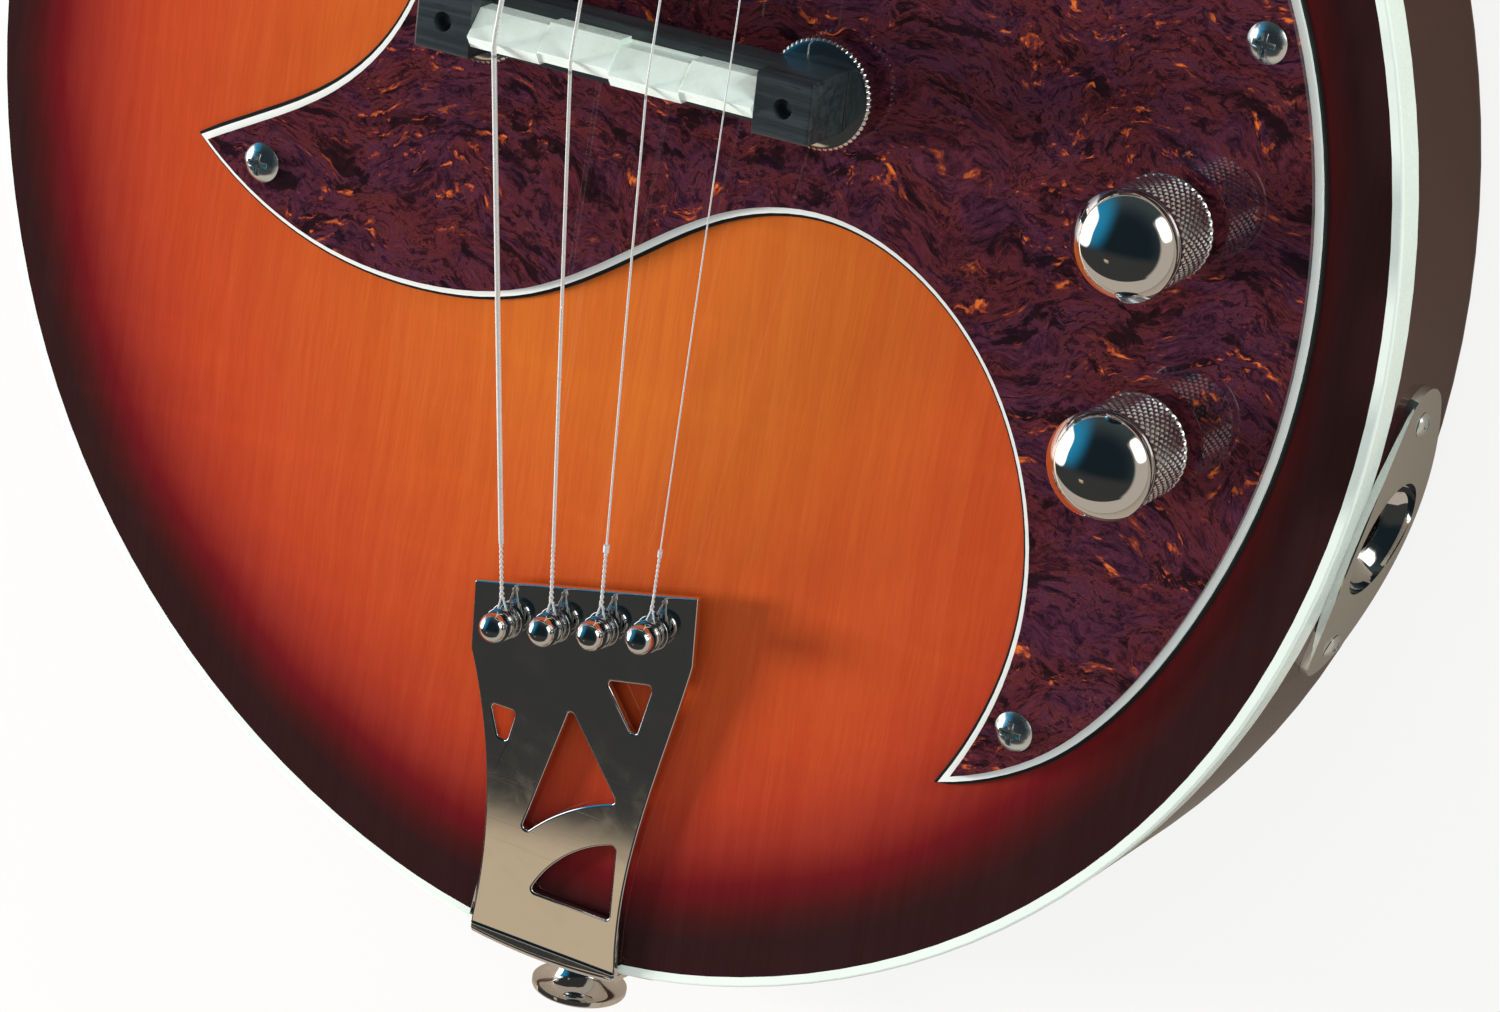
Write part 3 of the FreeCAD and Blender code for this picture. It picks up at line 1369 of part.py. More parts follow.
def make_pickup():
    cover_top = string_z(pickup_centre_y) - pickup_top_below_strings
    cover_low = cover_top - pickup_cover_height
    y = pickup_centre_y
    wall = pickup_cover_wall
    cover = rounded_box(pickup_half_length, pickup_half_width, pickup_corner, cover_low, cover_top, 0, y)
    inside = rounded_box(pickup_half_length - wall, pickup_half_width - wall, pickup_corner - wall,
                         cover_low - overrun, cover_top - wall, 0, y)
    rim = [e for e in cover.Edges if min(v.Z for v in e.Vertexes) > cover_top - overrun]
    cover = cover.makeFillet(wall, rim).cut(inside)
    save("pickup_cover", cover)
    gap = wall + coil_gap
    low = cover_low
    top = cover_top - gap
    flange_half = pickup_half_width - gap
    core_half = pickup_half_length - gap
    bobbin = rounded_box(core_half, flange_half, pickup_corner - wall, low, low + bobbin_flange, 0, y)
    bobbin = bobbin.fuse(rounded_box(core_half, flange_half, pickup_corner - wall,
                                     top - bobbin_flange, top, 0, y))
    core_x = core_half - flange_half + bobbin_core_half_width
    core = rounded_box(core_x, bobbin_core_half_width + coil_gap, bobbin_core_half_width, low, top, 0, y)
    magnets = []
    for k in range(len(string_names)):
        magnets.append(cylinder(magnet_radius, top - low, (k - 1.5) * string_spacing_at(y), y, low))
    holes = [cylinder(magnet_radius, top - low, m.BoundBox.Center.x, y, low) for m in magnets]
    save("pickup_bobbin", bobbin.fuse(core).removeSplitter().cut(holes))
    save("pickup_magnets", Part.makeCompound(magnets))
    coil = rounded_box(core_half - bobbin_flange, flange_half - bobbin_flange, pickup_corner - wall,
                       low + bobbin_flange, top - bobbin_flange, 0, y)
    coil = coil.cut(rounded_box(core_x, bobbin_core_half_width + coil_gap, bobbin_core_half_width,
                                low, top, 0, y))
    save("pickup_coil", coil)
    base_low = cover_low - pickup_base_thickness
    reach = pickup_half_length + pickup_ear_length
    base = rounded_box(pickup_half_length, pickup_half_width, pickup_corner, base_low, cover_low, 0, y)
    base = base.fuse(box(-reach, reach, y - pickup_ear_half_width, y + pickup_ear_half_width,
                         base_low, cover_low))
    ring_low = guard_top_z
    ring_top = ring_low + pickup_ring_height
    screws = []
    for x, py in pickup_screw_places():
        base = base.cut(cylinder(height_screw_radius + running_clearance,
                                 pickup_base_thickness + 2 * overrun, x, py, base_low - overrun))
        head = cylinder(height_screw_head_radius, height_screw_head_height, x, py, ring_top)
        screws.append(head.fuse(cylinder(height_screw_radius, height_screw_length, x, py,
                                         ring_top - height_screw_length)).removeSplitter())
    save("pickup_baseplate", base.removeSplitter())
    save("pickup_height_screws", Part.makeCompound(screws))
    ring = rounded_box(ring_half_length(), ring_half_width(), pickup_ring_corner, ring_low, ring_top, 0, y)
    rim = [e for e in ring.Edges if min(v.Z for v in e.Vertexes) > ring_top - overrun]
    ring = ring.makeFillet(pickup_ring_corner / 2, rim)
    ring = ring.cut(rounded_box(pickup_half_length + pickup_travel_clearance,
                                pickup_half_width + pickup_travel_clearance,
                                pickup_corner, ring_low - overrun, ring_top + overrun, 0, y))
    for x, py in pickup_screw_places():
        ring = ring.cut(cylinder(height_screw_radius + running_clearance, pickup_ring_height + 2 * overrun,
                                 x, py, ring_low - overrun))
    for x, py in ring_screw_places():
        ring = ring.cut(cylinder(screw_shaft_radius * small_screw_scale_share + screw_hole_clearance,
                                 pickup_ring_height + 2 * overrun, x, py, ring_low - overrun))
    save("pickup_ring", ring)


# Screws with dome heads

def tuner_screw_places():
    places = []
    for k in range(len(string_names)):
        x, y = post_place(k)
        side = 1.0 if x > 0 else -1.0
        places.append((x - side * (housing_half_width + screw_head_radius * small_screw_scale_share), y))
    return places


def tuner_screws():
    radius = screw_shaft_radius * small_screw_scale_share
    length = screw_length * small_screw_scale_share
    return [cylinder(radius, length, x, y, headstock_bottom - housing_wall) for x, y in tuner_screw_places()]


def make_dome_screws():
    screws = []
    for x, y in guard_screw_places():
        screws.append(moved(dome_screw(), x, y, guard_top_z))
    small = small_screw_scale_share
    short = screw_length * small
    for x, y in ring_screw_places():
        screws.append(moved(dome_screw(small, ring_screw_length()), x, y, guard_top_z + pickup_ring_height))
    for heading in jack_screw_headings():
        screws.append(on_side(moved(dome_screw(small, short), 0, 0, jack_plate_thickness + head_lift),
                              heading, jack_height))
    for heading in tail_screw_headings():
        screws.append(round_the_tail(moved(dome_screw(small, screw_length), 0, 0,
                                           tail_plate_thickness + head_lift), heading))
    for x, y in truss_cover_screw_places():
        screws.append(on_neck(moved(dome_screw(small, short), x, y, headstock_top + truss_cover_thickness)))
    for x, y in tuner_screw_places():
        screw = dome_screw(small, short)
        screw.rotate(Vector(0, 0, 0), Vector(1, 0, 0), 180)
        screws.append(on_neck(moved(screw, x, y, headstock_bottom - housing_wall)))
    save("dome_head_screws", Part.makeCompound(screws))


def make_neck_screws():
    screws = [moved(neck_screw(), x, y, 0.0) for x, y in neck_screw_places()]
    save("neck_screws", Part.makeCompound(screws))


# Tuners

def post_place(index):
    # outer strings go to the near posts, inner strings to the far posts
    side = -1.0 if index < 2 else 1.0
    near = index in (0, 3)
    y = nut_back + post_first_from_nut + (0.0 if near else post_step)
    return side * post_x, y


def winding_radius(index):
    return post_waist_radius + string_radii[string_names[index]] + winding_seat_gap


def post_waist_base(index):
    rank = "near" if index in (0, 3) else "far"
    return headstock_top + post_waist_base_over_headstock[rank]


def key_axis_y(index):
    # the worm lies beside the gear, towards the headstock's middle between the posts
    x, y = post_place(index)
    toward = 1.0 if index in (0, 3) else -1.0
    return y + toward * (gear_radius + worm_radius + worm_gap)


def make_tuners():
    housings = []
    ferrules = []
    gear_mid = headstock_bottom - housing_wall - gear_height
    for k, name in enumerate(string_names):
        x, y = post_place(k)
        side = -1.0 if x < 0 else 1.0
        key_y = key_axis_y(k)
        centre_y = (y + key_y) / 2
        low = headstock_bottom - housing_height
        shell = rounded_box(housing_half_width, housing_half_length, housing_round, low, headstock_bottom,
                            x, centre_y)
        rim = [e for e in shell.Edges if max(v.Z for v in e.Vertexes) < low + overrun]
        shell = shell.makeFillet(housing_round / 2, rim)
        room = box(x - housing_half_width + housing_wall, x + housing_half_width - housing_wall,
                   centre_y - housing_half_length + housing_wall,
                   centre_y + housing_half_length - housing_wall,
                   low + housing_wall, headstock_bottom + overrun)
        shell = shell.cut(room)
        outer = x + side * housing_half_width
        bushing = Part.makeCylinder(key_bushing_radius, key_bushing_length, Vector(outer, key_y, gear_mid),
                                    Vector(side, 0, 0))
        shell = shell.fuse(bushing)
        inner = outer - side * (housing_wall + overrun / 2)
        passage = Part.makeCylinder(key_shaft_radius + key_clearance,
                                    key_bushing_length + housing_wall + overrun,
                                    Vector(inner, key_y, gear_mid), Vector(side, 0, 0))
        pad_x, pad_y = tuner_screw_places()[k]
        edge = x - side * (housing_half_width - housing_wall)
        tab = cylinder(tuner_tab_radius, housing_wall, pad_x, pad_y, headstock_bottom - housing_wall)
        tab = tab.fuse(box(min(pad_x, edge), max(pad_x, edge), pad_y - tuner_tab_radius,
                           pad_y + tuner_tab_radius, headstock_bottom - housing_wall, headstock_bottom))
        tab = tab.cut(moved(small_screw_hole(), pad_x, pad_y, headstock_bottom))
        housings.append(on_neck(shell.fuse(tab).cut(passage).removeSplitter()))
        ferrules.append(on_neck(moved(ferrule(), x, y, 0)))
        save("tuner_post_" + name, on_neck(tuner_post(k, gear_mid)))
        save("tuner_key_" + name, on_neck(tuner_key(k, gear_mid)))
        save("string_turns_" + name, on_neck(string_turns(k)))
    save("tuner_housings", Part.makeCompound(housings))
    save("tuner_ferrules", Part.makeCompound(ferrules))


def ferrule():
    # sleeve through the headstock with a flange on its face
    bore = post_radius + post_clearance
    break_height = headstock_top + ferrule_flange_height / 2
    top = headstock_top + ferrule_flange_height
    return revolve([(bore, headstock_bottom), (ferrule_radius, headstock_bottom),
                    (ferrule_radius, headstock_top), (ferrule_flange_radius, headstock_top),
                    (ferrule_flange_radius, break_height),
                    (ferrule_flange_radius - ferrule_flange_height / 2, top), (bore, top)])


def tuner_post(index, gear_mid):
    x, y = post_place(index)
    base = post_waist_base(index)
    top = base + post_waist_height
    gear_low = gear_mid - gear_height / 2
    gear_top = gear_mid + gear_height / 2
    floor = headstock_bottom - housing_height + housing_wall + post_clearance
    post = revolve([(0, floor), (post_waist_radius, floor), (post_waist_radius, gear_low),
                    (gear_radius, gear_low), (gear_radius, gear_top), (post_radius, gear_top),
                    (post_radius, base), (post_waist_radius, base), (post_waist_radius, top),
                    (post_radius, top), (post_radius, top + post_top_height / 2),
                    (post_waist_radius, top + post_top_height), (0, top + post_top_height)])
    notches = []
    for k in range(gear_tooth_count):
        angle = 2 * math.pi * (k + 0.5) / gear_tooth_count
        notches.append(cylinder(gear_notch_radius, gear_height + 2 * overrun, gear_radius * math.cos(angle),
                                gear_radius * math.sin(angle), gear_low - overrun))
    reach = post_radius + overrun
    slot = Part.makeCylinder(string_radii["g"] + running_clearance, 2 * reach,
                             Vector(-reach, 0, top - string_radii["g"]), Vector(1, 0, 0))
    return moved(post.cut(notches + [slot]), x, y, 0)


def tuner_key(index, gear_mid):
    x, y = post_place(index)
    side = -1.0 if x < 0 else 1.0
    key_y = key_axis_y(index)
    axis = Vector(side, 0, 0)
    shaft_end = x + side * (housing_half_width + key_shaft_reach)
    start = x - side * worm_half_length
    worm = Part.makeCylinder(worm_radius, 2 * worm_half_length, Vector(start, key_y, gear_mid), axis)
    inner = x - side * (housing_half_width - housing_wall - post_clearance)
    shaft = Part.makeCylinder(key_shaft_radius, abs(shaft_end - inner), Vector(inner, key_y, gear_mid), axis)
    hub = Part.makeCylinder(key_button_hub_radius, key_button_hub_length,
                            Vector(shaft_end - side * key_button_hub_length, key_y, gear_mid), axis)
    plate = extrude(oval_wire(key_button_half_length, key_button_half_height, key_button_end_radius),
                    -key_button_thickness / 2, key_button_thickness / 2)
    rims = [e for e in plate.Edges if abs(e.Vertexes[0].Z - e.Vertexes[-1].Z) < truss_gap]
    plate = plate.makeFillet(key_button_thickness / 3, rims)
    plate.rotate(Vector(0, 0, 0), Vector(0, 0, 1), 90)
    plate.translate(Vector(shaft_end + side * (key_button_half_height - truss_gap), key_y, gear_mid))
    return worm.fuse([shaft, hub, plate]).removeSplitter()


def string_turns(index):
    x, y = post_place(index)
    radius = string_radii[string_names[index]]
    pitch = 2 * radius + winding_gap
    coil = helix_tube(winding_radius(index), pitch, winding_turn_count, radius)
    tall = winding_turn_count * pitch
    if index >= 2:
        coil.rotate(Vector(0, 0, 0), Vector(1, 0, 0), 180)
        coil.translate(Vector(0, 0, tall))
    base = post_waist_base(index) + (post_waist_height - tall) / 2
    return moved(coil, x, y, base)


def turns_height(index):
    return post_waist_base(index) + post_waist_height / 2


# Strings from their loops to the posts

def saddle_contact(index):
    # the top of the saddle under this string
    x = (index - 1.5) * string_spacing_at_bridge
    across = x - bridge_centre_x
    turn = math.radians(bridge_turn)
    y = bridge_centre_y + across * math.tan(turn) + (saddle_offsets[index] + saddle_ridge) / math.cos(turn)
    return Vector(x, y, string_z_at_bridge - saddle_ridge_drop)


def make_string(index):
    radius = string_radii[string_names[index]]
    start = peg_groove(index)
    over = saddle_contact(index) + Vector(0, 0, string_seat_gap + radius)
    break_y = scale_length + nut_thickness * nut_break_share
    at_nut = neck_point((index - 1.5) * string_spacing_at_nut, break_y, nut_seat + radius)
    x, y = post_place(index)
    side = -1.0 if x < 0 else 1.0
    end = neck_point(x - side * winding_radius(index), y - tangent_stop(index), turns_height(index))
    ahead = (over - start).normalize()
    loop_radius = peg_groove_radius + radius + loop_gap
    twist_start = start + ahead * (peg_head_radius + twist_gap)
    places = [start + ahead * loop_radius, over, at_nut, end]
    path = tangent_path(places, [string_bend_radius, string_nut_bend_radius])
    twist = rod_between(twist_start, twist_start + ahead * twist_length, radius * twist_width_ratio)
    loop = Part.makeTorus(loop_radius, radius, start, Vector(0, 0, 1))
    return tube(path, radius).fuse([twist, loop])


def make_strings():
    save("strings_wound", Part.makeCompound([make_string(0), make_string(1)]))
    save("strings_plain", Part.makeCompound([make_string(2), make_string(3)]))


def tangent_stop(index):
    # the straight run stops where it would meet the outside of the turns
    radius = string_radii[string_names[index]]
    outer = winding_radius(index) + 2 * radius + string_end_gap
    return math.sqrt(outer ** 2 - winding_radius(index) ** 2)


def print_places():
    # where the joints and mounts are, in millimetres
    for k, name in enumerate(string_names):
        x, y = post_place(k)
        gear_mid = headstock_bottom - housing_wall - gear_height
        post = neck_point(x, y, 0)
        key = neck_point(x, key_axis_y(k), gear_mid)
        print("post", name, post, "key", key)
    print("jack", on_side(Part.Vertex(Vector(0, 0, 0)), jack_heading, jack_height).Vertexes[0].Point)
    print("half width", half_width, "body end", body_end, "loops", peg_groove(0), peg_groove(3))
    print("studs", stud_places(), "saddle", saddle_contact(0), saddle_contact(3))
    print("wheel low", face_z + bridge_bottom_over_face - wheel_height, "guard top", guard_top_z)


make_body()
make_guard()
make_bridge()
make_tailpiece()
make_pegs()
make_strap_buttons()
make_controls(make_jack())
make_wiring()
make_neck()
make_neck_screws()
make_pickup()
make_tuners()
make_dome_screws()
make_strings()
print_places()
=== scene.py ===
import json
import math

import bmesh
import bpy
import numpy as np
from mathutils import Matrix, Vector

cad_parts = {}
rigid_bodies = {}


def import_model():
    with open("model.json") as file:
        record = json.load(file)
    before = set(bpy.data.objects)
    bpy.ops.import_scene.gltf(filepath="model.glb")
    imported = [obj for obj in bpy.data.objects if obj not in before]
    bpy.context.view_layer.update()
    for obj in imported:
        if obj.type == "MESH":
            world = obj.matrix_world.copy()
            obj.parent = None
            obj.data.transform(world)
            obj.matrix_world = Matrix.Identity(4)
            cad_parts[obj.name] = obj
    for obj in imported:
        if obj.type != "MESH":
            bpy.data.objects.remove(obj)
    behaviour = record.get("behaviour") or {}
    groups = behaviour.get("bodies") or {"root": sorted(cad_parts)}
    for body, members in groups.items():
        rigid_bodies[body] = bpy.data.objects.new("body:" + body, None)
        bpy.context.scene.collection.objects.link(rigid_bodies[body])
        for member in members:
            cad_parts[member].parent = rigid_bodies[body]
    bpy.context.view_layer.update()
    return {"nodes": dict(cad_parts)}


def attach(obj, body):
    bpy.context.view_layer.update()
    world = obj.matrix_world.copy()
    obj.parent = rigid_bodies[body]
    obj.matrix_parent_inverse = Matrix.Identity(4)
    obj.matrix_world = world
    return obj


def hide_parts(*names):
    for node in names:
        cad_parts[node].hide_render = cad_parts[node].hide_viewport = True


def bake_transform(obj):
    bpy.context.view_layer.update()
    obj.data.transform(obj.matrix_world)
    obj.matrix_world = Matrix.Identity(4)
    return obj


for leftover in list(bpy.data.objects):
    bpy.data.objects.remove(leftover)
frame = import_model()
mm = 0.001
tau = 2 * math.pi
print("frame loaded:", len(frame["nodes"]), "nodes")


# small helpers for shader nodes

def feed(tree, socket, value):
    # a value that is a socket is linked, anything else is set
    if isinstance(value, bpy.types.NodeSocket):
        tree.links.new(value, socket)
    else:
        socket.default_value = value


def addNode(tree, kind, values=None, **settings):
    made = tree.nodes.new(kind)
    for key, value in settings.items():
        setattr(made, key, value)
    for key, value in (values or {}).items():
        feed(tree, made.inputs[key], value)
    return made


def calc(tree, operation, a, b=0.0, c=0.0, clamp=False):
    # scalar arithmetic: operation(a, b, c)
    return addNode(tree, "ShaderNodeMath", {0: a, 1: b, 2: c}, operation=operation, use_clamp=clamp).outputs[0]


def times(tree, a, b):
    return calc(tree, "MULTIPLY", a, b)


def inverse(tree, a):
    # 1 - a
    return calc(tree, "SUBTRACT", 1.0, a)


def vecCalc(tree, operation, a, b=(0, 0, 0), scale=None):
    # vector arithmetic; the scalar result comes from dot product and length
    values = {0: a, 1: b} if scale is None else {0: a, "Scale": scale}
    made = addNode(tree, "ShaderNodeVectorMath", values, operation=operation)
    return made.outputs["Value" if operation in ("DOT_PRODUCT", "LENGTH") else "Vector"]


def dot(tree, a, b):
    return vecCalc(tree, "DOT_PRODUCT", a, b)


def stretch(tree, where, by):
    # where * by, one factor for each axis
    return vecCalc(tree, "MULTIPLY", where, by)


def stepUp(tree, value, low, high):
    # smooth step from 0 below low to 1 above high
    return addNode(tree, "ShaderNodeMapRange", {"Value": value, "From Min": low, "From Max": high},
                   interpolation_type="SMOOTHSTEP").outputs["Result"]


def mixColour(tree, share, a, b, blend="MIX"):
    made = addNode(tree, "ShaderNodeMix", {"Factor": share}, data_type="RGBA", blend_type=blend)
    for socket, value in ((made.inputs[6], a), (made.inputs[7], b)):
        feed(tree, socket, value if isinstance(value, bpy.types.NodeSocket) else (*value, 1.0))
    return made.outputs[2]


def ramp(tree, value, stops):
    # colour ramp through (position, colour) stops
    made = addNode(tree, "ShaderNodeValToRGB", {"Fac": value})
    band = made.color_ramp
    while len(band.elements) < len(stops):
        band.elements.new(1.0)
    for element, (place, colour) in zip(band.elements, stops):
        element.position = place
        element.color = (*colour, 1.0)
    return made.outputs["Color"]


def noise(tree, where, scale, detail=4.0, rough=0.5, warp=0.0):
    return addNode(tree, "ShaderNodeTexNoise", {"Vector": where, "Scale": scale, "Detail": detail,
                                                "Roughness": rough, "Distortion": warp}).outputs["Fac"]


def newGroup(name, values, outputs):
    # node group with an input for the place, one for each named value, and outputs that are plain numbers
    group = bpy.data.node_groups.new(name, "ShaderNodeTree")
    face = group.interface
    face.new_socket(name="Vector", in_out="INPUT", socket_type="NodeSocketVector")
    for label, value in values.items():
        face.new_socket(name=label, in_out="INPUT", socket_type="NodeSocketFloat").default_value = value
    for label in outputs:
        face.new_socket(name=label, in_out="OUTPUT", socket_type="NodeSocketFloat")
    return group, addNode(group, "NodeGroupInput").outputs, addNode(group, "NodeGroupOutput").inputs


def useGroup(tree, group, values=None):
    return addNode(tree, "ShaderNodeGroup", values, node_tree=group).outputs


def newMaterial(name, **surface):
    # material with a Principled surface; its constants are set straight on the sockets
    material = bpy.data.materials.new(name)
    material.use_nodes = True
    tree = material.node_tree
    shader = tree.nodes["Principled BSDF"]
    for key, value in surface.items():
        shader.inputs[key.replace("_", " ")].default_value = value
    where = addNode(tree, "ShaderNodeTexCoord").outputs["Object"]
    return material, tree, shader, vecCalc(tree, "SCALE", where, scale=1 / mm)


def connect(tree, output, shader, name):
    tree.links.new(output, shader.inputs[name])


def addBump(tree, shader, height, strength, distance=0.0001):
    relief = addNode(tree, "ShaderNodeBump", {"Height": height, "Strength": strength, "Distance": distance})
    connect(tree, relief.outputs["Normal"], shader, "Normal")


# effects that several materials share

bodyOutline = {"bridgeToTail": 159.2, "radii": (106.0, 133.0, 153.0, 120.0, 75.0, 8.0),
               "turns": (17.0, 52.0, 47.0, 30.0, -46.0, 80.0)}


def outlineArcs():
    # chain of tangent arcs of the right half: centre = point - side * radius * outward normal,
    # next point = centre + side * radius * outward normal after the turn
    x, y, heading = 0.0, -bodyOutline["bridgeToTail"], 0.0
    arcs = []
    for radius, turn in zip(bodyOutline["radii"], bodyOutline["turns"]):
        side = math.copysign(1.0, turn)
        a0, a1 = math.radians(heading), math.radians(heading + turn)
        centre = (x - side * radius * math.sin(a0), y + side * radius * math.cos(a0))
        arcs.append((centre, radius, side, a0, a1))
        x = centre[0] + side * radius * math.sin(a1)
        y = centre[1] - side * radius * math.cos(a1)
        heading += turn
    return arcs, (x, y)


def makeEdgeDistance():
    # distance in mm from the body's edge: in the sector of each arc it is radius - |p - centre| (the other
    # way round for the hollow arc), outside every sector it is large, and the least of all is taken
    group, given, result = newGroup("edgeDistance", {}, ["Distance"])
    parts = addNode(group, "ShaderNodeSeparateXYZ", {0: given["Vector"]}).outputs
    across = calc(group, "ABSOLUTE", parts["X"])
    place = addNode(group, "ShaderNodeCombineXYZ", {"X": across, "Y": parts["Y"]}).outputs[0]
    arcs, end = outlineArcs()
    slack, farAway = 0.01, 500.0
    least = calc(group, "SUBTRACT", end[1], parts["Y"])
    for centre, radius, side, a0, a1 in arcs[:5]:
        arm = vecCalc(group, "SUBTRACT", place, (*centre, 0.0))
        reach = vecCalc(group, "LENGTH", arm)
        inward = times(group, calc(group, "SUBTRACT", radius, reach), side)
        outLow = calc(group, "LESS_THAN", dot(group, arm, (math.cos(a0), math.sin(a0), 0.0)), -slack)
        outHigh = calc(group, "GREATER_THAN", dot(group, arm, (math.cos(a1), math.sin(a1), 0.0)), slack)
        outside = times(group, calc(group, "ADD", outLow, outHigh), farAway)
        least = calc(group, "MINIMUM", least, calc(group, "ADD", inward, outside))
    centre, radius, side, a0, a1 = arcs[5]
    normal = (math.sin(a0), -math.cos(a0), 0.0)
    touch = (centre[0] + radius * normal[0], centre[1] + radius * normal[1], 0.0)
    arm = vecCalc(group, "SUBTRACT", touch, place)
    plain = dot(group, arm, normal)
    below = calc(group, "GREATER_THAN", dot(group, arm, (math.cos(a0), math.sin(a0), 0.0)), 0.0)
    least = calc(group, "MINIMUM", least, calc(group, "ADD", plain, times(group, below, farAway)))
    group.links.new(least, result["Distance"])
    return group


def makeHandling():
    # handling marks on hard shiny surfaces: faint smudges and hairline scratches in two directions
    group, given, result = newGroup("handlingMarks", {"Rough Low": 0.03, "Rough High": 0.09}, ["Roughness", "Height"])
    where = given["Vector"]
    smudge = stepUp(group, noise(group, where, 0.16, 5.0, 0.6, 0.6), 0.42, 0.72)
    dust = stepUp(group, noise(group, where, 2.6, 2.0, 0.5), 0.70, 0.78)
    height = None
    for turn, fine in ((0.6, (0.05, 3.1, 3.1)), (-1.1, (0.04, 2.3, 2.3))):
        spun = addNode(group, "ShaderNodeMapping", {"Vector": where, "Rotation": (0.2, 0.3, turn), "Scale": fine})
        line = stepUp(group, noise(group, spun.outputs[0], 1.0, 1.0, 0.4), 0.70, 0.74)
        height = line if height is None else calc(group, "MAXIMUM", height, line)
    span = calc(group, "SUBTRACT", given["Rough High"], given["Rough Low"])
    worn = calc(group, "MAXIMUM", calc(group, "MAXIMUM", smudge, dust), times(group, height, 0.6))
    group.links.new(calc(group, "MULTIPLY_ADD", worn, span, given["Rough Low"]), result["Roughness"])
    group.links.new(calc(group, "SUBTRACT", times(group, dust, 0.5), height), result["Height"])
    return group


def makeGrain():
    # wood grain along Y: fine fibres, annual lines across X and short darker pores
    group, given, result = newGroup("woodGrain", {"Line Scale": 0.5, "Fibre Scale": 3.0},
                                    ["Lines", "Fibres", "Pores"])
    where = given["Vector"]
    flow = noise(group, stretch(group, where, (0.02, 0.006, 0.02)), 1.0, 3.0)
    slid = vecCalc(group, "ADD", where, addNode(group, "ShaderNodeCombineXYZ", {
        "X": calc(group, "MULTIPLY_ADD", flow, 14.0, -7.0)}).outputs[0])
    bands = []
    for label, squash, rough in (("Line Scale", 0.012, 0.55), ("Fibre Scale", 0.05, 0.6)):
        place = vecCalc(group, "SCALE", stretch(group, slid, (1.0, squash, 1.0)), scale=given[label])
        bands.append(noise(group, place, 1.0, 3.0, rough))
    pores = noise(group, stretch(group, slid, (3.4, 0.30, 3.4)), 1.0, 2.0, 0.5)
    for label, value in zip(("Lines", "Fibres", "Pores"), (*bands, stepUp(group, pores, 0.60, 0.70))):
        group.links.new(value, result[label])
    return group


edgeDistance = makeEdgeDistance()
handling = makeHandling()
grain = makeGrain()
print("shared effects made")


# finishes

def addWear(tree, shader, where, low, high):
    # roughness between low and high from the shared handling marks; their height is given back
    marks = useGroup(tree, handling, {"Vector": where, "Rough Low": low, "Rough High": high})
    connect(tree, marks["Roughness"], shader, "Roughness")
    return marks["Height"]


burst = {"lacquerRough": 0.03, "wobble": 1.8, "darkDrift": 5.0, "driftWay": (0.62, -0.78), "driftReach": 130,
         "lines": (0.26, (0.80, 0.50, 0.50)), "fibres": (0.30, (0.74, 0.60, 0.60)), "silk": (0.10, (1.0, 0.86, 0.6))}


def makeBurst(name, stops, drift):
    # colour runs through the stops with the distance from the edge, sprayed wider on the treble side and tail
    material, tree, shader, where = newMaterial(name, Roughness=0.42, Specular_IOR_Level=0.0, Coat_Weight=1.0,
                                                Coat_Roughness=burst["lacquerRough"], Coat_IOR=1.5)
    away = useGroup(tree, edgeDistance, {"Vector": where})["Distance"]
    lean = dot(tree, where, (*(part / burst["driftReach"] for part in burst["driftWay"]), 0.0))
    cloud = noise(tree, where, 0.035, 3.0, 0.5)
    away = calc(tree, "ADD", away, calc(tree, "MULTIPLY_ADD", cloud, 2 * burst["wobble"], -burst["wobble"]))
    away = calc(tree, "SUBTRACT", away, times(tree, stepUp(tree, lean, -0.9, 0.9), drift))
    reach = stops[-1][0]
    share = calc(tree, "DIVIDE", away, reach, clamp=True)
    colour = ramp(tree, share, [(inward / reach, tone) for inward, tone in stops])
    wood = useGroup(tree, grain, {"Vector": where, "Line Scale": 0.42, "Fibre Scale": 2.4})
    silk = noise(tree, stretch(tree, where, (0.012, 0.11, 0.05)), 1.0, 4.0, 0.6, 0.7)
    for mask, (share, tone), blend in ((stepUp(tree, wood["Lines"], 0.36, 0.62), burst["lines"], "MULTIPLY"),
                                       (stepUp(tree, wood["Fibres"], 0.30, 0.70), burst["fibres"], "MULTIPLY"),
                                       (stepUp(tree, silk, 0.45, 0.75), burst["silk"], "SOFT_LIGHT")):
        colour = mixColour(tree, times(tree, mask, share), colour, tone, blend)
    connect(tree, colour, shader, "Base Color")
    addWear(tree, shader, where, 0.38, 0.5)
    wave = noise(tree, where, 0.05, 2.0, 0.5)
    addBump(tree, shader, calc(tree, "MULTIPLY_ADD", wood["Fibres"], 0.05, wave), 0.12, 0.0004)
    return material


# lacquer colours at their distance in millimetres from the body's edge
topStops = [(0.0, (0.030, 0.011, 0.011)), (3.0, (0.031, 0.011, 0.011)), (6.8, (0.062, 0.010, 0.010)),
            (11.9, (0.150, 0.009, 0.012)), (18.6, (0.325, 0.033, 0.019)), (27.0, (0.470, 0.055, 0.020)),
            (36.0, (0.535, 0.073, 0.021)), (58.0, (0.590, 0.100, 0.022)), (90.0, (0.630, 0.150, 0.024))]
sideStops = [(0.0, (0.042, 0.014, 0.011)), (7.0, (0.048, 0.015, 0.012)), (15.0, (0.100, 0.016, 0.011)),
             (25.0, (0.190, 0.022, 0.012)), (38.0, (0.260, 0.036, 0.014)), (70.0, (0.300, 0.050, 0.016))]
burstTop = makeBurst("sunburst lacquer on the top", topStops, burst["darkDrift"])
burstSides = makeBurst("sunburst lacquer on sides and back", sideStops, 0.0)

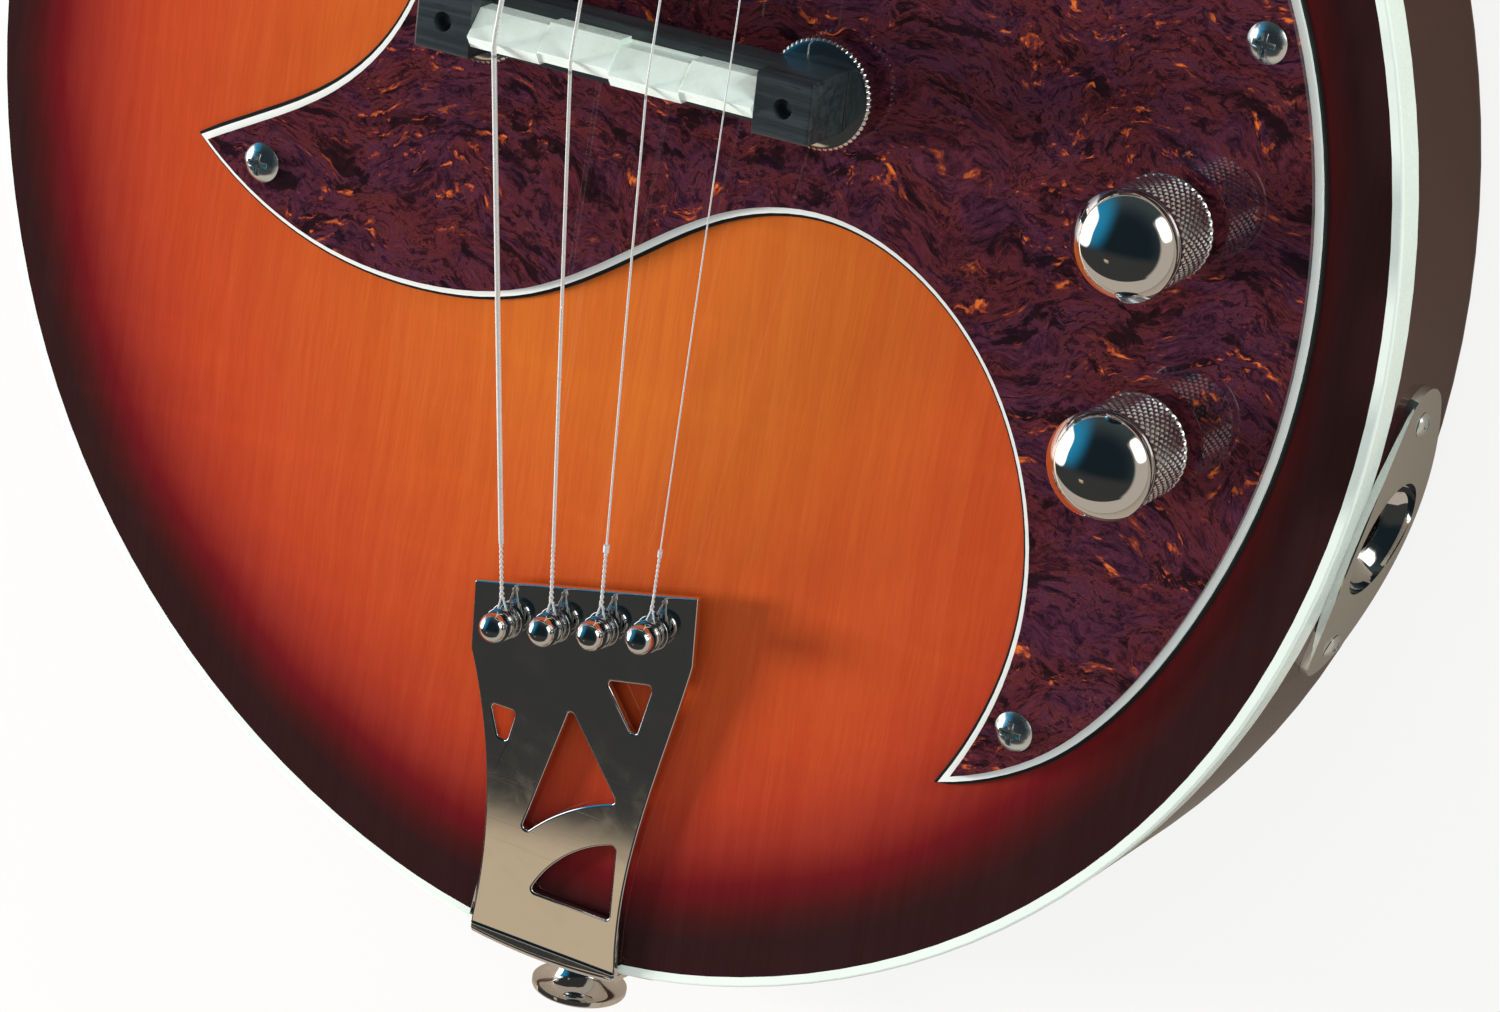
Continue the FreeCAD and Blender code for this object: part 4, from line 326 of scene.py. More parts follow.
# warps: scale and reach of each bend; threads: scale, width, colour and share; flecks: from, to and colour
shell = {"flow": 16.0, "stretch": 0.42, "warps": ((0.022, 8.0), (0.09, 1.9), (0.35, 0.55)),
         "plum": ((0.020, 0.006, 0.015), (0.100, 0.025, 0.050)),
         "maroon": ((0.024, 0.006, 0.010), (0.130, 0.024, 0.032)),
         "threads": ((1.3, 0.040, (0.008, 0.003, 0.006), 0.70), (0.95, 0.030, (0.26, 0.050, 0.028), 0.40)),
         "streaks": (0.85, (0.009, 0.004, 0.006)), "fleckShare": 0.95,
         "flecks": ((0.575, 0.63, (0.34, 0.055, 0.022)), (0.625, 0.67, (0.76, 0.17, 0.035)))}


def makeShell():
    # celluloid: a field bent three times over and stretched along the flow gives the maroon body with purple and
    # red clouds, fine dark and light filaments, black streaks, red-brown veins and amber flecks with bright cores
    material, tree, shader, where = newMaterial("tortoise celluloid", Roughness=0.3, Specular_IOR_Level=0.0,
                                                Coat_Weight=1.0, Coat_Roughness=0.03)
    bent = where
    for scale, reach in shell["warps"]:
        push = addNode(tree, "ShaderNodeTexNoise", {"Vector": bent, "Scale": scale, "Detail": 2.0}).outputs["Color"]
        push = vecCalc(tree, "SCALE", vecCalc(tree, "SUBTRACT", push, (0.5, 0.5, 0.5)), scale=4 * reach)
        bent = vecCalc(tree, "ADD", bent, push)
    flow = addNode(tree, "ShaderNodeMapping", {"Vector": bent, "Rotation": (0, 0, math.radians(shell["flow"])),
                                               "Scale": (shell["stretch"], 1.0, 1.0)}).outputs[0]
    body = stepUp(tree, noise(tree, flow, 0.95, 8.0, 0.80), 0.36, 0.66)
    hue = stepUp(tree, noise(tree, flow, 0.14, 4.0, 0.6), 0.40, 0.60)
    colour = mixColour(tree, hue, mixColour(tree, body, *shell["plum"]), mixColour(tree, body, *shell["maroon"]))
    for scale, width, tone, share in shell["threads"]:
        ridge = calc(tree, "ABSOLUTE", calc(tree, "SUBTRACT", noise(tree, flow, scale, 6.0, 0.65), 0.5))
        line = inverse(tree, stepUp(tree, ridge, 0.0, width))
        area = stepUp(tree, noise(tree, flow, scale * 0.25, 3.0, 0.5), 0.42, 0.58)
        colour = mixColour(tree, times(tree, times(tree, line, area), share), colour, tone)
    black = stepUp(tree, noise(tree, stretch(tree, flow, (0.8, 1.0, 1.0)), 0.20, 7.0, 0.66), 0.54, 0.60)
    share, tone = shell["streaks"]
    colour = mixColour(tree, times(tree, black, share), colour, tone)
    spot = noise(tree, flow, 0.52, 5.0, 0.62)
    area = stepUp(tree, noise(tree, flow, 0.11, 3.0, 0.5), 0.47, 0.60)
    for low, high, tone in shell["flecks"]:
        share = times(tree, stepUp(tree, spot, low, high), area)
        colour = mixColour(tree, times(tree, share, shell["fleckShare"]), colour, tone)
    connect(tree, colour, shader, "Base Color")
    marks = addWear(tree, shader, where, 0.22, 0.4)
    addBump(tree, shader, calc(tree, "MULTIPLY_ADD", marks, 0.2, noise(tree, where, 0.08, 2.0)), 0.06, 0.0003)
    return material


shellPlastic = makeShell()


def makeMetal(name, colour, roughLow, roughHigh, brushed=0.0):
    # plated metal: smudges and hairlines change its roughness, brushed metal has a fine lengthwise bump
    material, tree, shader, where = newMaterial(name, Metallic=1.0)
    tone = times(tree, noise(tree, where, 0.09, 3.0, 0.5), 0.35)
    connect(tree, mixColour(tree, tone, colour, tuple(0.86 * c for c in colour)), shader, "Base Color")
    height = times(tree, addWear(tree, shader, where, roughLow, roughHigh), 0.25)
    if brushed:
        lines = noise(tree, stretch(tree, where, (0.3, 9.0, 0.3)), 1.0, 3.0)
        height = calc(tree, "MULTIPLY_ADD", lines, brushed, height)
    addBump(tree, shader, height, 0.002 + 0.1 * brushed)
    return material


chrome = makeMetal("bright chrome", (0.80, 0.80, 0.79), 0.03, 0.06)
screwPlating = makeMetal("bright screw plating", (0.88, 0.96, 0.96), 0.18, 0.28)
knurlMetal = makeMetal("knurled chrome", (0.86, 0.92, 0.93), 0.20, 0.28)
nickel = makeMetal("nickel", (0.70, 0.68, 0.63), 0.12, 0.24)
steel = makeMetal("plain steel", (0.56, 0.56, 0.55), 0.22, 0.40, 0.5)
copper = makeMetal("copper winding", (0.72, 0.30, 0.16), 0.25, 0.42, 0.8)
castMagnet = makeMetal("cast magnet", (0.26, 0.26, 0.27), 0.35, 0.55, 0.3)


def makePlastic(name, colour, rough, darker=0.9, coat=0.0, soft=0.0, mottle=0.05):
    # moulded or turned plastic: slight clouding, dust and smudges in its sheen and a faint orange peel
    material, tree, shader, where = newMaterial(name, Coat_Weight=coat, Coat_Roughness=0.06,
                                                Subsurface_Weight=soft, Subsurface_Scale=0.002)
    cloud = noise(tree, where, mottle, 4.0, 0.6)
    connect(tree, mixColour(tree, stepUp(tree, cloud, 0.35, 0.68), colour, tuple(darker * c for c in colour)),
            shader, "Base Color")
    marks = addWear(tree, shader, where, rough, rough + 0.16)
    peel = noise(tree, where, 1.1, 2.0)
    addBump(tree, shader, calc(tree, "MULTIPLY_ADD", marks, 0.2, peel), 0.06, 0.00008)
    return material


bindingPlastic = makePlastic("ivory binding", (0.88, 0.95, 0.87), 0.22, 0.96, 0.4)
whitePly = makePlastic("white ply", (0.93, 0.95, 0.90), 0.3, 0.97)
blackPly = makePlastic("black ply", (0.012, 0.012, 0.013), 0.3, 0.7)
blackPlastic = makePlastic("black plastic", (0.016, 0.016, 0.017), 0.26, 0.75, 0.3)
creamPlastic = makePlastic("cream button", (0.70, 0.64, 0.46), 0.18, 0.86, 0.8, 0.2, 0.12)
pearlPlastic = makePlastic("pearl dot", (0.74, 0.74, 0.70), 0.15, 0.72, 0.8, 0.0, 0.7)
capacitorFilm = makePlastic("dipped capacitor", (0.36, 0.10, 0.03), 0.2, 0.8, 0.8)
wireCover = makePlastic("wire cover", (0.03, 0.03, 0.03), 0.45, 0.8)


def makeBone():
    # saddle and nut: pale, slightly green, with faint brown handling in noise patches and fine saw lines
    material, tree, shader, where = newMaterial("cream bone", Coat_Weight=0.1)
    cloud = noise(tree, where, 0.22, 4.0, 0.6)
    colour = mixColour(tree, stepUp(tree, cloud, 0.36, 0.66), (0.86, 0.95, 0.88), (0.80, 0.88, 0.79))
    stain = stepUp(tree, noise(tree, stretch(tree, where, (0.35, 0.6, 0.6)), 1.0, 4.0, 0.6), 0.60, 0.74)
    colour = mixColour(tree, times(tree, stain, 0.22), colour, (0.60, 0.52, 0.34))
    connect(tree, colour, shader, "Base Color")
    addWear(tree, shader, where, 0.26, 0.45)
    addBump(tree, shader, noise(tree, stretch(tree, where, (0.4, 5.0, 5.0)), 1.0, 3.0), 0.10)
    return material


bone = makeBone()


def makeWood(name, dark, light, rough, coat, along="Y", pores=0.4, lines=0.5, fibres=2.6):
    # neck, fingerboard and bridge wood: the grain group is turned so that its lines run along the piece
    material, tree, shader, where = newMaterial(name, Coat_Weight=coat, Coat_Roughness=0.05)
    spun = where
    if along == "X":
        spun = addNode(tree, "ShaderNodeMapping", {"Vector": where, "Rotation": (0, 0, math.pi / 2)}).outputs[0]
    wood = useGroup(tree, grain, {"Vector": spun, "Line Scale": lines, "Fibre Scale": fibres})
    colour = mixColour(tree, stepUp(tree, wood["Lines"], 0.34, 0.66), dark, light)
    colour = mixColour(tree, times(tree, stepUp(tree, wood["Fibres"], 0.4, 0.7), 0.35), colour, dark)
    colour = mixColour(tree, times(tree, wood["Pores"], pores), colour, tuple(0.35 * c for c in dark))
    connect(tree, colour, shader, "Base Color")
    addWear(tree, shader, where, rough, rough + 0.14)
    addBump(tree, shader, calc(tree, "MULTIPLY_ADD", wood["Pores"], -0.8, times(tree, wood["Fibres"], 0.5)), 0.16)
    return material


neckWood = makeWood("stained neck", (0.080, 0.016, 0.010), (0.150, 0.034, 0.018), 0.34, 0.9, pores=0.5)
boardWood = makeWood("fingerboard", (0.034, 0.017, 0.011), (0.075, 0.036, 0.022), 0.46, 0.0, pores=0.7)
# the blue-green tint of these bridge-wood colours is a painted reflection of the dark teal room on near-black wood
ebony = makeWood("ebony", (0.020, 0.025, 0.027), (0.040, 0.050, 0.054), 0.30, 0.15, "X", 0.5, 0.9, 4.0)


def makeStringMetal(name, colour, wound):
    # string wire: the piece's UV runs once round (U) and along in millimetres (V); a wound string shows its wrap
    # Metallic is only 0.35: the rest of the wire is a pale matt surface, a painted sheen that keeps the strings
    # bright silver under any light
    material, tree, shader, where = newMaterial(name, Metallic=0.35)
    wire = addNode(tree, "ShaderNodeUVMap", uv_map="wire").outputs[0]
    along = addNode(tree, "ShaderNodeSeparateXYZ", {0: wire}).outputs
    tone = noise(tree, where, 0.5, 3.0)
    connect(tree, mixColour(tree, tone, colour, tuple(0.8 * c for c in colour)), shader, "Base Color")
    addWear(tree, shader, where, 0.26, 0.4)
    if wound:
        turn = calc(tree, "ADD", times(tree, along["Y"], tau / wound), times(tree, along["X"], tau))
        wrap = calc(tree, "ABSOLUTE", calc(tree, "SINE", times(tree, turn, 0.5)))
        addBump(tree, shader, wrap, 0.3, 0.00005)
    return material


woundWire = makeStringMetal("wound string", (0.92, 0.91, 0.88), 0.22)
plainWire = makeStringMetal("plain string", (0.93, 0.93, 0.92), 0.0)
print("materials made")

nodeFinish = {}
for finish, names in (
        (burstSides, "body_core"), (burstTop, "top_plate"), (bindingPlastic, "body_binding"),
        (shellPlastic, "pickguard_top_ply"), (whitePly, "pickguard_white_ply"), (blackPly, "pickguard_black_ply"),
        (screwPlating, "dome_head_screws"), (neckWood, "neck"), (boardWood, "fingerboard"), (ebony, "bridge_bar"),
        (bone, "nut bridge_saddle"), (pearlPlastic, "fret_markers"), (capacitorFilm, "tone_capacitor"),
        (wireCover, "hookup_wires"), (copper, "pickup_coil"), (castMagnet, "pickup_magnets"),
        (blackPlastic, "truss_rod_cover pickup_ring pickup_bobbin"),
        (chrome, "bridge_studs bridge_wheel_bass bridge_wheel_treble tailpiece_plate string_pegs strap_buttons "
                 "strap_screws jack_plate volume_knob tone_knob pickup_cover tuner_housings tuner_ferrules"),
        (nickel, "frets neck_screws jack_socket panel_nuts pickup_baseplate pickup_height_screws tuner_post_g "
                 "tuner_post_d tuner_post_a tuner_post_e"),
        (steel, "truss_rod jack_contacts volume_pot tone_pot volume_shaft tone_shaft"),
        (creamPlastic, "tuner_key_g tuner_key_d tuner_key_a tuner_key_e"),
        (woundWire, "strings_wound string_turns_g string_turns_d"),
        (plainWire, "strings_plain string_turns_a string_turns_e")):
    for name in names.split():
        nodeFinish[name] = finish
        for place in frame["nodes"][name].material_slots:
            place.material = finish


# helpers that make and place meshes

def meshFrom(name, grids, finish, sharp=40.0):
    # one mesh from grids of points (rows, columns, 3) in mm whose columns close on themselves.
    # Rows that shrink to one point become poles, doubles are merged, and the faces are turned outwards
    verts, faces, start = [], [], 0
    for points in grids:
        rows, columns = points.shape[:2]
        index = np.arange(rows * columns).reshape(rows, columns) + start
        beside = np.roll(index, -1, 1)
        faces.append(np.stack([index[:-1], beside[:-1], beside[1:], index[1:]], -1).reshape(-1, 4))
        verts.append(points.reshape(-1, 3) * mm)
        start += rows * columns
    mesh = bpy.data.meshes.new(name)
    mesh.from_pydata(np.concatenate(verts).tolist(), [], np.concatenate(faces).tolist())
    work = bmesh.new()
    work.from_mesh(mesh)
    bmesh.ops.remove_doubles(work, verts=work.verts, dist=2e-7)
    bmesh.ops.recalc_face_normals(work, faces=work.faces)
    work.to_mesh(mesh)
    work.free()
    mesh.shade_smooth()
    mesh.set_sharp_from_angle(angle=math.radians(sharp))
    mesh.materials.append(finish)
    return mesh


def addObject(name, data):
    made = bpy.data.objects.new(name, data)
    bpy.context.scene.collection.objects.link(made)
    return made


def addPiece(name, mesh, body, slot, *nodes):
    piece = addObject(name, mesh)
    if body:
        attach(piece, body)
    if nodes:
        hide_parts(*nodes)
    return piece


def unit(way):
    return way / np.linalg.norm(way, axis=-1, keepdims=True)


def softProfile(points, steps=6):
    # profile of radius and height with rounded corners: each corner of radius r is the arc that touches both
    # its sides, found from the half angle between them
    rounded = []
    for k, (x, y, r) in enumerate(points):
        here = np.array((x, y))
        if r == 0 or k in (0, len(points) - 1):
            rounded.append(here)
            continue
        a, b = unit(np.array(points[k - 1][:2]) - here), unit(np.array(points[k + 1][:2]) - here)
        half = math.acos(np.clip(a @ b, -1, 1)) / 2
        centre = here + unit(a + b) * r / math.sin(half)
        p0, p1 = here + a * r / math.tan(half), here + b * r / math.tan(half)
        a0 = math.atan2(*(p0 - centre)[::-1])
        turn = (math.atan2(*(p1 - centre)[::-1]) - a0 + math.pi) % tau - math.pi
        angle = a0 + turn * np.linspace(0, 1, steps)
        rounded.extend(centre + r * np.stack([np.cos(angle), np.sin(angle)], 1))
    return np.array(rounded)


def swept(r, z, angle):
    # (r cos a, r sin a, z) for every row and every angle a
    return np.stack([r * np.cos(angle), r * np.sin(angle), z + 0 * angle], -1)


def turned(profile, count):
    # surface of revolution from a profile of radius and height
    return swept(profile[:, :1], profile[:, 1:], np.linspace(0, tau, count, endpoint=False))


def placed(points, origin, xAxis=(1, 0, 0), yAxis=(0, 1, 0), zAxis=(0, 0, 1)):
    # origin + x * xAxis + y * yAxis + z * zAxis
    return np.asarray(origin) + points @ np.array([xAxis, yAxis, zAxis], float)


def tubeAlong(path, radius, sides=12, up=(0.0, 0.0, 1.0)):
    # circle of the given radius carried along the path: p + r (cos a * n + sin a * t x n), with n square to the
    # path and to up; both ends close to a point
    tangent = unit(np.gradient(path, axis=0))
    side = unit(np.cross(tangent, up))
    over = np.cross(side, tangent)
    angle = np.linspace(0, tau, sides, endpoint=False)
    r = np.broadcast_to(np.asarray(radius, float), (len(path),))[:, None, None]
    c, s = np.cos(angle)[None, :, None], np.sin(angle)[None, :, None]
    ring = path[:, None] + r * (c * side[:, None] + s * over[:, None])
    caps = [np.repeat(path[k][None, None], sides, 1) for k in (0, -1)]
    return np.concatenate([caps[0], ring, caps[1]])


def softened(name, node, body, slot, width, segments=3, angle=30.0, grow=0.0, clamp=True):
    # the CAD node's own form with its edges broken: a merged copy, its flat faces joined, then a small bevel; grow
    # carries its upright walls outwards by that many millimetres
    mesh = frame["nodes"][node].data.copy()
    mesh.name = name
    work = bmesh.new()
    work.from_mesh(mesh)
    bmesh.ops.remove_doubles(work, verts=work.verts, dist=1e-6)
    bmesh.ops.dissolve_limit(work, angle_limit=math.radians(0.3), verts=work.verts, edges=work.edges)
    for vert in work.verts if grow else ():
        outward = sum((face.normal for face in vert.link_faces if abs(face.normal.z) < 0.3), Vector())
        vert.co += outward.normalized() * grow * mm if outward.length else Vector()
    clean = bpy.data.meshes.new(name)
    work.to_mesh(clean)
    work.free()
    clean.shade_smooth()
    clean.set_sharp_from_angle(angle=math.radians(angle))
    clean.materials.append(nodeFinish[node])
    piece = addPiece(name, clean, body, slot, node)
    bevel = piece.modifiers.new("broken edges", "BEVEL")
    bevel.width = width * mm
    bevel.segments = segments
    bevel.limit_method = "ANGLE"
    bevel.angle_limit = math.radians(angle)
    bevel.use_clamp_overlap = clamp
    bevel.harden_normals = True


# control knobs

knobForm = {"radius": 8.45, "base": 36.4, "barrel": 12.2, "groove": 0.8, "top": 19.45, "cap": 10.0, "widest": 8.72,
            "shoulder": 0.9, "knurls": 40, "knurlDepth": 0.36, "knurlSlope": 1.3, "plainFoot": 0.9, "plainTop": 0.5,
            "neck": 0.6, "bore": (3.2, 9.0), "places": {"volume": (88.8, -5.1), "tone": (90.9, -39.7)}}


def makeKnob(name):
    # barrel: r = radius - depth * (1 - peak), where peak is the least of two crossed helical ridges; dome: a
    # spherical cap, (cap sin t, centre + cap cos t), that a small shoulder arc carries round and under its rim
    form = knobForm
    r, barrel, bore = form["radius"], form["barrel"], form["bore"][0]
    low, high, skin = form["plainFoot"], barrel - form["plainTop"], r - 0.05
    angle = np.linspace(0, tau, form["knurls"] * 12, endpoint=False)
    band = np.linspace(low, high, 130)[:, None]
    pitch = tau * r / form["knurls"] * form["knurlSlope"]
    ridges = []
    for hand in (1, -1):
        turn = angle * form["knurls"] / 2 + hand * math.pi * band / pitch
        ridges.append(np.abs(2 * ((turn / math.pi) % 1) - 1))
    peak = np.clip(1.25 * (1 - np.maximum(*ridges)), 0, 1)
    fade = np.clip(np.minimum(band - low, high - band) / 0.4, 0, 1)
    radius = skin - form["knurlDepth"] * (1 - peak) * fade
    knurled = swept(radius, band, angle)
    foot = turned(softProfile([(bore, 0.0, 0), (r - 0.9, 0.0, 0.3), (skin, 0.5, 0.2), (skin, low, 0)]), angle.size)
    floor = barrel + form["groove"]
    cap, lip = form["cap"], form["shoulder"]
    edge = math.asin((form["widest"] - lip) / (cap - lip))
    t = np.linspace(edge, 0, 44)
    dome = np.stack([cap * np.sin(t), form["top"] - cap + cap * np.cos(t)], 1)
    middle = dome[0] - lip * np.array((math.sin(edge), math.cos(edge)))
    under = math.pi - math.acos(min(1.0, (middle[1] - floor) / lip))
    t = np.linspace(under, edge, 26, endpoint=False)
    shoulder = middle + lip * np.stack([np.sin(t), np.cos(t)], 1)
    inner = r - form["neck"]
    neck = softProfile([(skin, high, 0), (skin, barrel, 0.15), (inner, barrel + 0.15, 0.1),
                        (inner, shoulder[0, 1] - 0.05, 0)])
    upper = turned(np.concatenate([neck, shoulder, dome]), angle.size)
    hole = turned(np.array([form["bore"], (bore, 0.0)]), angle.size)
    lid = turned(np.array([(0.0, form["bore"][1]), form["bore"]]), angle.size)
    place = (*form["places"][name], form["base"])
    for label, shapes, finish in (("Dome", (lid, hole, upper), chrome), ("Barrel", (foot, knurled), knurlMetal)):
        mesh = meshFrom(name + label, [placed(g, place) for g in shapes], finish, 28)
        addPiece(name + label, mesh, name + "_control", "bright_chrome", name + "_knob")


for name in knobForm["places"]:
    makeKnob(name)
print("knobs made")


# bridge

wheelForm = {"radius": 9.0, "base": 36.75, "height": 3.2, "knurls": 56, "depth": 0.5, "bore": 1.6,
             "places": {"bass": (-30.872, -2.5995), "treble": (29.872, -0.0005)}}


def makeWheel(name):
    # rim: r = radius - depth * scallop, a rounded ridge |sin|^0.7 for each knurl; both faces break in a bevel
    form = wheelForm
    r, h, bore = form["radius"], form["height"], form["bore"]
    angle = np.linspace(0, tau, form["knurls"] * 12, endpoint=False)
    scallop = 1 - np.abs(np.sin(angle * form["knurls"] / 2)) ** 0.7
    profile = np.array([
        (bore, 0.0, 0), (r - 1.1, 0.0, 0), (r - 0.55, 0.12, 0), (r - 0.12, 0.5, 0.6), (r, 0.8, 1), (r, h - 0.8, 1),
        (r - 0.12, h - 0.5, 0.6), (r - 0.55, h - 0.12, 0), (r - 1.1, h, 0), (bore + 0.3, h, 0), (bore, h - 0.3, 0),
        (bore, 0.0, 0)])
    radius = profile[:, :1] - form["depth"] * profile[:, 2:] * scallop
    grid = swept(radius, profile[:, 1:2], angle)
    place = (*form["places"][name], form["base"])
    mesh = meshFrom(name + "Wheel", [placed(grid, place)], chrome, 28)
    addPiece(name + "Wheel", mesh, name + "_wheel", "bright_chrome", "bridge_wheel_" + name)


for name in wheelForm["places"]:
    makeWheel(name)
softened("bridgeBlocks", "bridge_bar", "bridge", "ebony", 0.25, angle=32.0)
softened("saddleSteps", "bridge_saddle", "bridge", "bone", 0.16, angle=32.0)
print("bridge made")


# tailpiece, its pegs and the strap buttons

softened("tailPlate", "tailpiece_plate", "instrument", "bright_chrome", 0.4, 4, clamp=False)

tailForm = {"rim": -159.2, "face": 32.0, "plate": 1.5, "tilt": math.atan2(2.1, 59.0), "spacing": 8.9, "line": 59.7,
            "slope": 0.25}


def tailFrame(index):
    # peg foot on the plate: x = (index - 1.5) * spacing, y = line + slope * x from the rim, turned by the tilt
    x = (index - 1.5) * tailForm["spacing"]
    along = tailForm["line"] + tailForm["slope"] * x
    c, s = math.cos(tailForm["tilt"]), math.sin(tailForm["tilt"])
    plate = tailForm["plate"]
    foot = np.array((x, tailForm["rim"] + along * c - plate * s, tailForm["face"] + along * s + plate * c))
    return foot, (1, 0, 0), (0, c, s), (0, -s, c)


pegForm = {"sink": -1.5, "stem": 1.65, "collar": 2.95, "collarTop": 0.55, "shoulder": 2.3, "grooveLow": 0.95,
           "groove": 1.25, "grooveTop": 2.05, "flange": 2.75, "flangeTop": 2.55, "ball": 2.6, "ballRise": 1.35}


def makePegs():
    # each peg is turned: foot, collar, shoulder, waist for the loop, thin flange, then a near-full ball
    f = pegForm
    centre = f["flangeTop"] + f["ballRise"]
    arc = np.linspace(math.acos(-f["ballRise"] / f["ball"]), 0, 30)
    ball = np.stack([f["ball"] * np.sin(arc), centre + f["ball"] * np.cos(arc)], 1)
    stem = softProfile([(0, f["sink"], 0), (f["stem"], f["sink"], 0), (f["stem"], 0.0, 0), (f["collar"], 0.0, 0),
                        (f["collar"], f["collarTop"], 0.18), (f["shoulder"], f["collarTop"], 0.08),
                        (f["shoulder"], f["grooveLow"], 0.12), (f["groove"], f["grooveLow"], 0.1),
                        (f["groove"], f["grooveTop"], 0.1), (f["flange"], f["grooveTop"], 0.12),
                        (f["flange"], f["flangeTop"], 0.18), (ball[0, 0], f["flangeTop"], 0)])
    grid = turned(np.concatenate([stem, ball]), 56)
    grids = [placed(grid, *tailFrame(index)) for index in range(4)]
    addPiece("stringPegs", meshFrom("stringPegs", grids, chrome), "instrument", "bright_chrome", "string_pegs")


makePegs()

buttonForm = {"flange": 8.0, "length": 11.0, "neck": 3.4, "neckTop": 3.8, "foot": 4.6, "lip": 1.2, "seat": 3.75,
              "seatFloor": 8.6, "bore": 2.05, "tail": (-0.7, -160.698), "shoulder": 128.0, "height": 16.0}


def makeButtons():
    # turned button: foot, waist, a quarter-ellipse flare to the flange, and a dished seat for the screw
    f = buttonForm
    turn = np.linspace(0, math.pi / 2, 24)
    flare = np.stack([f["neck"] + (f["flange"] - f["neck"]) * (1 - np.cos(turn)),
                      f["neckTop"] + (f["length"] - f["lip"] - f["neckTop"]) * np.sin(turn)], 1)
    low = softProfile([(f["bore"], f["seatFloor"], 0), (f["bore"], 0, 0), (f["foot"], 0, 0.2), (f["neck"], 2.2, 1.2),
                       (f["neck"], f["neckTop"], 0)])
    top = softProfile([(f["flange"], f["length"] - f["lip"], 0), (f["flange"], f["length"], 0.5),
                       (f["seat"] + 0.2, f["length"], 0.2), (f["seat"], f["length"] - 0.4, 0.1),
                       (f["seat"], f["seatFloor"], 0), (f["bore"], f["seatFloor"], 0)])
    grid = turned(np.concatenate([low[:-1], flare, top[1:]]), 72)
    arcs, _ = outlineArcs()
    heading = math.radians(f["shoulder"])
    centre, radius = next((c, r) for c, r, s, a0, a1 in arcs if s > 0 and a0 <= heading <= a1)
    nx, ny = math.sin(heading), -math.cos(heading)
    shoulder = (-(centre[0] + radius * nx), centre[1] + radius * ny, f["height"])
    grids = [placed(grid, (*f["tail"], f["height"]), (1, 0, 0), (0, 0, 1), (0, -1, 0)),
             placed(grid, shoulder, (-ny, -nx, 0), (0, 0, 1), (-nx, ny, 0))]
    addPiece("strapButtons", meshFrom("strapButtons", grids, chrome), "instrument", "bright_chrome", "strap_buttons")


makeButtons()
print("tailpiece made")


# strings

stringForm = {"radii": (0.43, 0.30, 0.19, 0.13), "saddleX": 13.7, "nutX": 7.6, "bridge": (-0.5, -1.3),
              "turn": math.radians(2.45), "offsets": (0.0, 0.5, -0.4, 0.2), "ridge": -1.1, "saddleZ": 52.0,
              "scale": 352.0, "nutReach": 4.14, "nutSeat": 1.3, "boardZ": 48.2, "neckTilt": math.radians(2.0),
              "postX": 17.5, "postNear": 390.6, "postFar": 426.6, "postRadius": 2.5, "turnsNear": -1.4,
              "turnsFar": -2.2, "loopHeight": 1.55, "clear": 0.05, "twist": 10.5, "twistPitch": 1.9, "split": 5.2}


def neckPoint(x, y, z):
    # neck frame to the instrument's: turned down by the neck's tilt and lifted to the fingerboard's height
    c, s = math.cos(stringForm["neckTilt"]), math.sin(stringForm["neckTilt"])
    return np.array((x, y * c + z * s, stringForm["boardZ"] - y * s + z * c))


def stringPlaces(index):
    # loop centre at the peg, top of the saddle, top of the nut and the tangent point on the post
    f = stringForm
    r = f["radii"][index]
    foot, _, _, az = tailFrame(index)
    loop = foot + np.array(az) * f["loopHeight"]
    x = (index - 1.5) * f["saddleX"]
    along = (f["bridge"][1] + (x - f["bridge"][0]) * math.tan(f["turn"])
             + (f["offsets"][index] + f["ridge"]) / math.cos(f["turn"]))
    over = np.array((x, along, f["saddleZ"] + f["clear"] + r))
    nut = neckPoint((index - 1.5) * f["nutX"], f["scale"] + f["nutReach"], f["nutSeat"] + r)
    side = -1.0 if index < 2 else 1.0
    near = index in (0, 3)
    y = f["postNear"] if near else f["postFar"]
    winding = f["postRadius"] + r + 0.04
    base = f["turnsNear"] if near else f["turnsFar"]
    stop = math.sqrt((winding + 2 * r + 0.3) ** 2 - winding ** 2)
    end = neckPoint(side * f["postX"] - side * winding, y - stop, base)
    return loop, over, nut, end, np.array(az)


def bendThrough(points, radii, step):
    # straight runs joined by smooth bends: near each inner point the path is the quadratic
    # (1-t)^2 a + 2 t (1-t) p + t^2 b between a and b, one radius before and after it
    path, here = [], points[0]
    for k, p in enumerate(points[1:], 1):
        last = k == len(points) - 1
        a = p if last else p - unit(p - points[k - 1]) * radii[k - 1]
        count = max(2, int(np.linalg.norm(a - here) / step))
        path.append(here + (a - here) * np.linspace(0, 1, count, endpoint=last)[:, None])
        if not last:
            b = here = p + unit(points[k + 1] - p) * radii[k - 1]
            t = np.linspace(0, 1, 7, endpoint=False)[:, None]
            path.append((1 - t) ** 2 * a + 2 * t * (1 - t) * p + t ** 2 * b)
    return np.concatenate(path)


def addWireUv(mesh, loopStart, direction):
    # U is the angle round the wire, V its length in mm along its general direction
    uv = mesh.uv_layers.new(name="wire")
    co = np.empty(len(mesh.vertices) * 3)
    mesh.vertices.foreach_get("co", co)
    co = co.reshape(-1, 3) / mm - loopStart
    along = co @ direction
    index = np.empty(len(mesh.loops), int)
    mesh.loops.foreach_get("vertex_index", index)
    across = co - along[:, None] * direction
    turn = np.arctan2(across[:, 2], across[:, 0]) / tau
    uv.data.foreach_set("uv", np.stack([turn[index], along[index]], 1).ravel())


def addString(index, name, grids, start, way):
    # one string piece with its wire UV
    wound = index < 2
    mesh = meshFrom(name, grids, woundWire if wound else plainWire)
    addWireUv(mesh, start, way)
    return addPiece(name, mesh, None, "string_wrap" if wound else "string_steel")


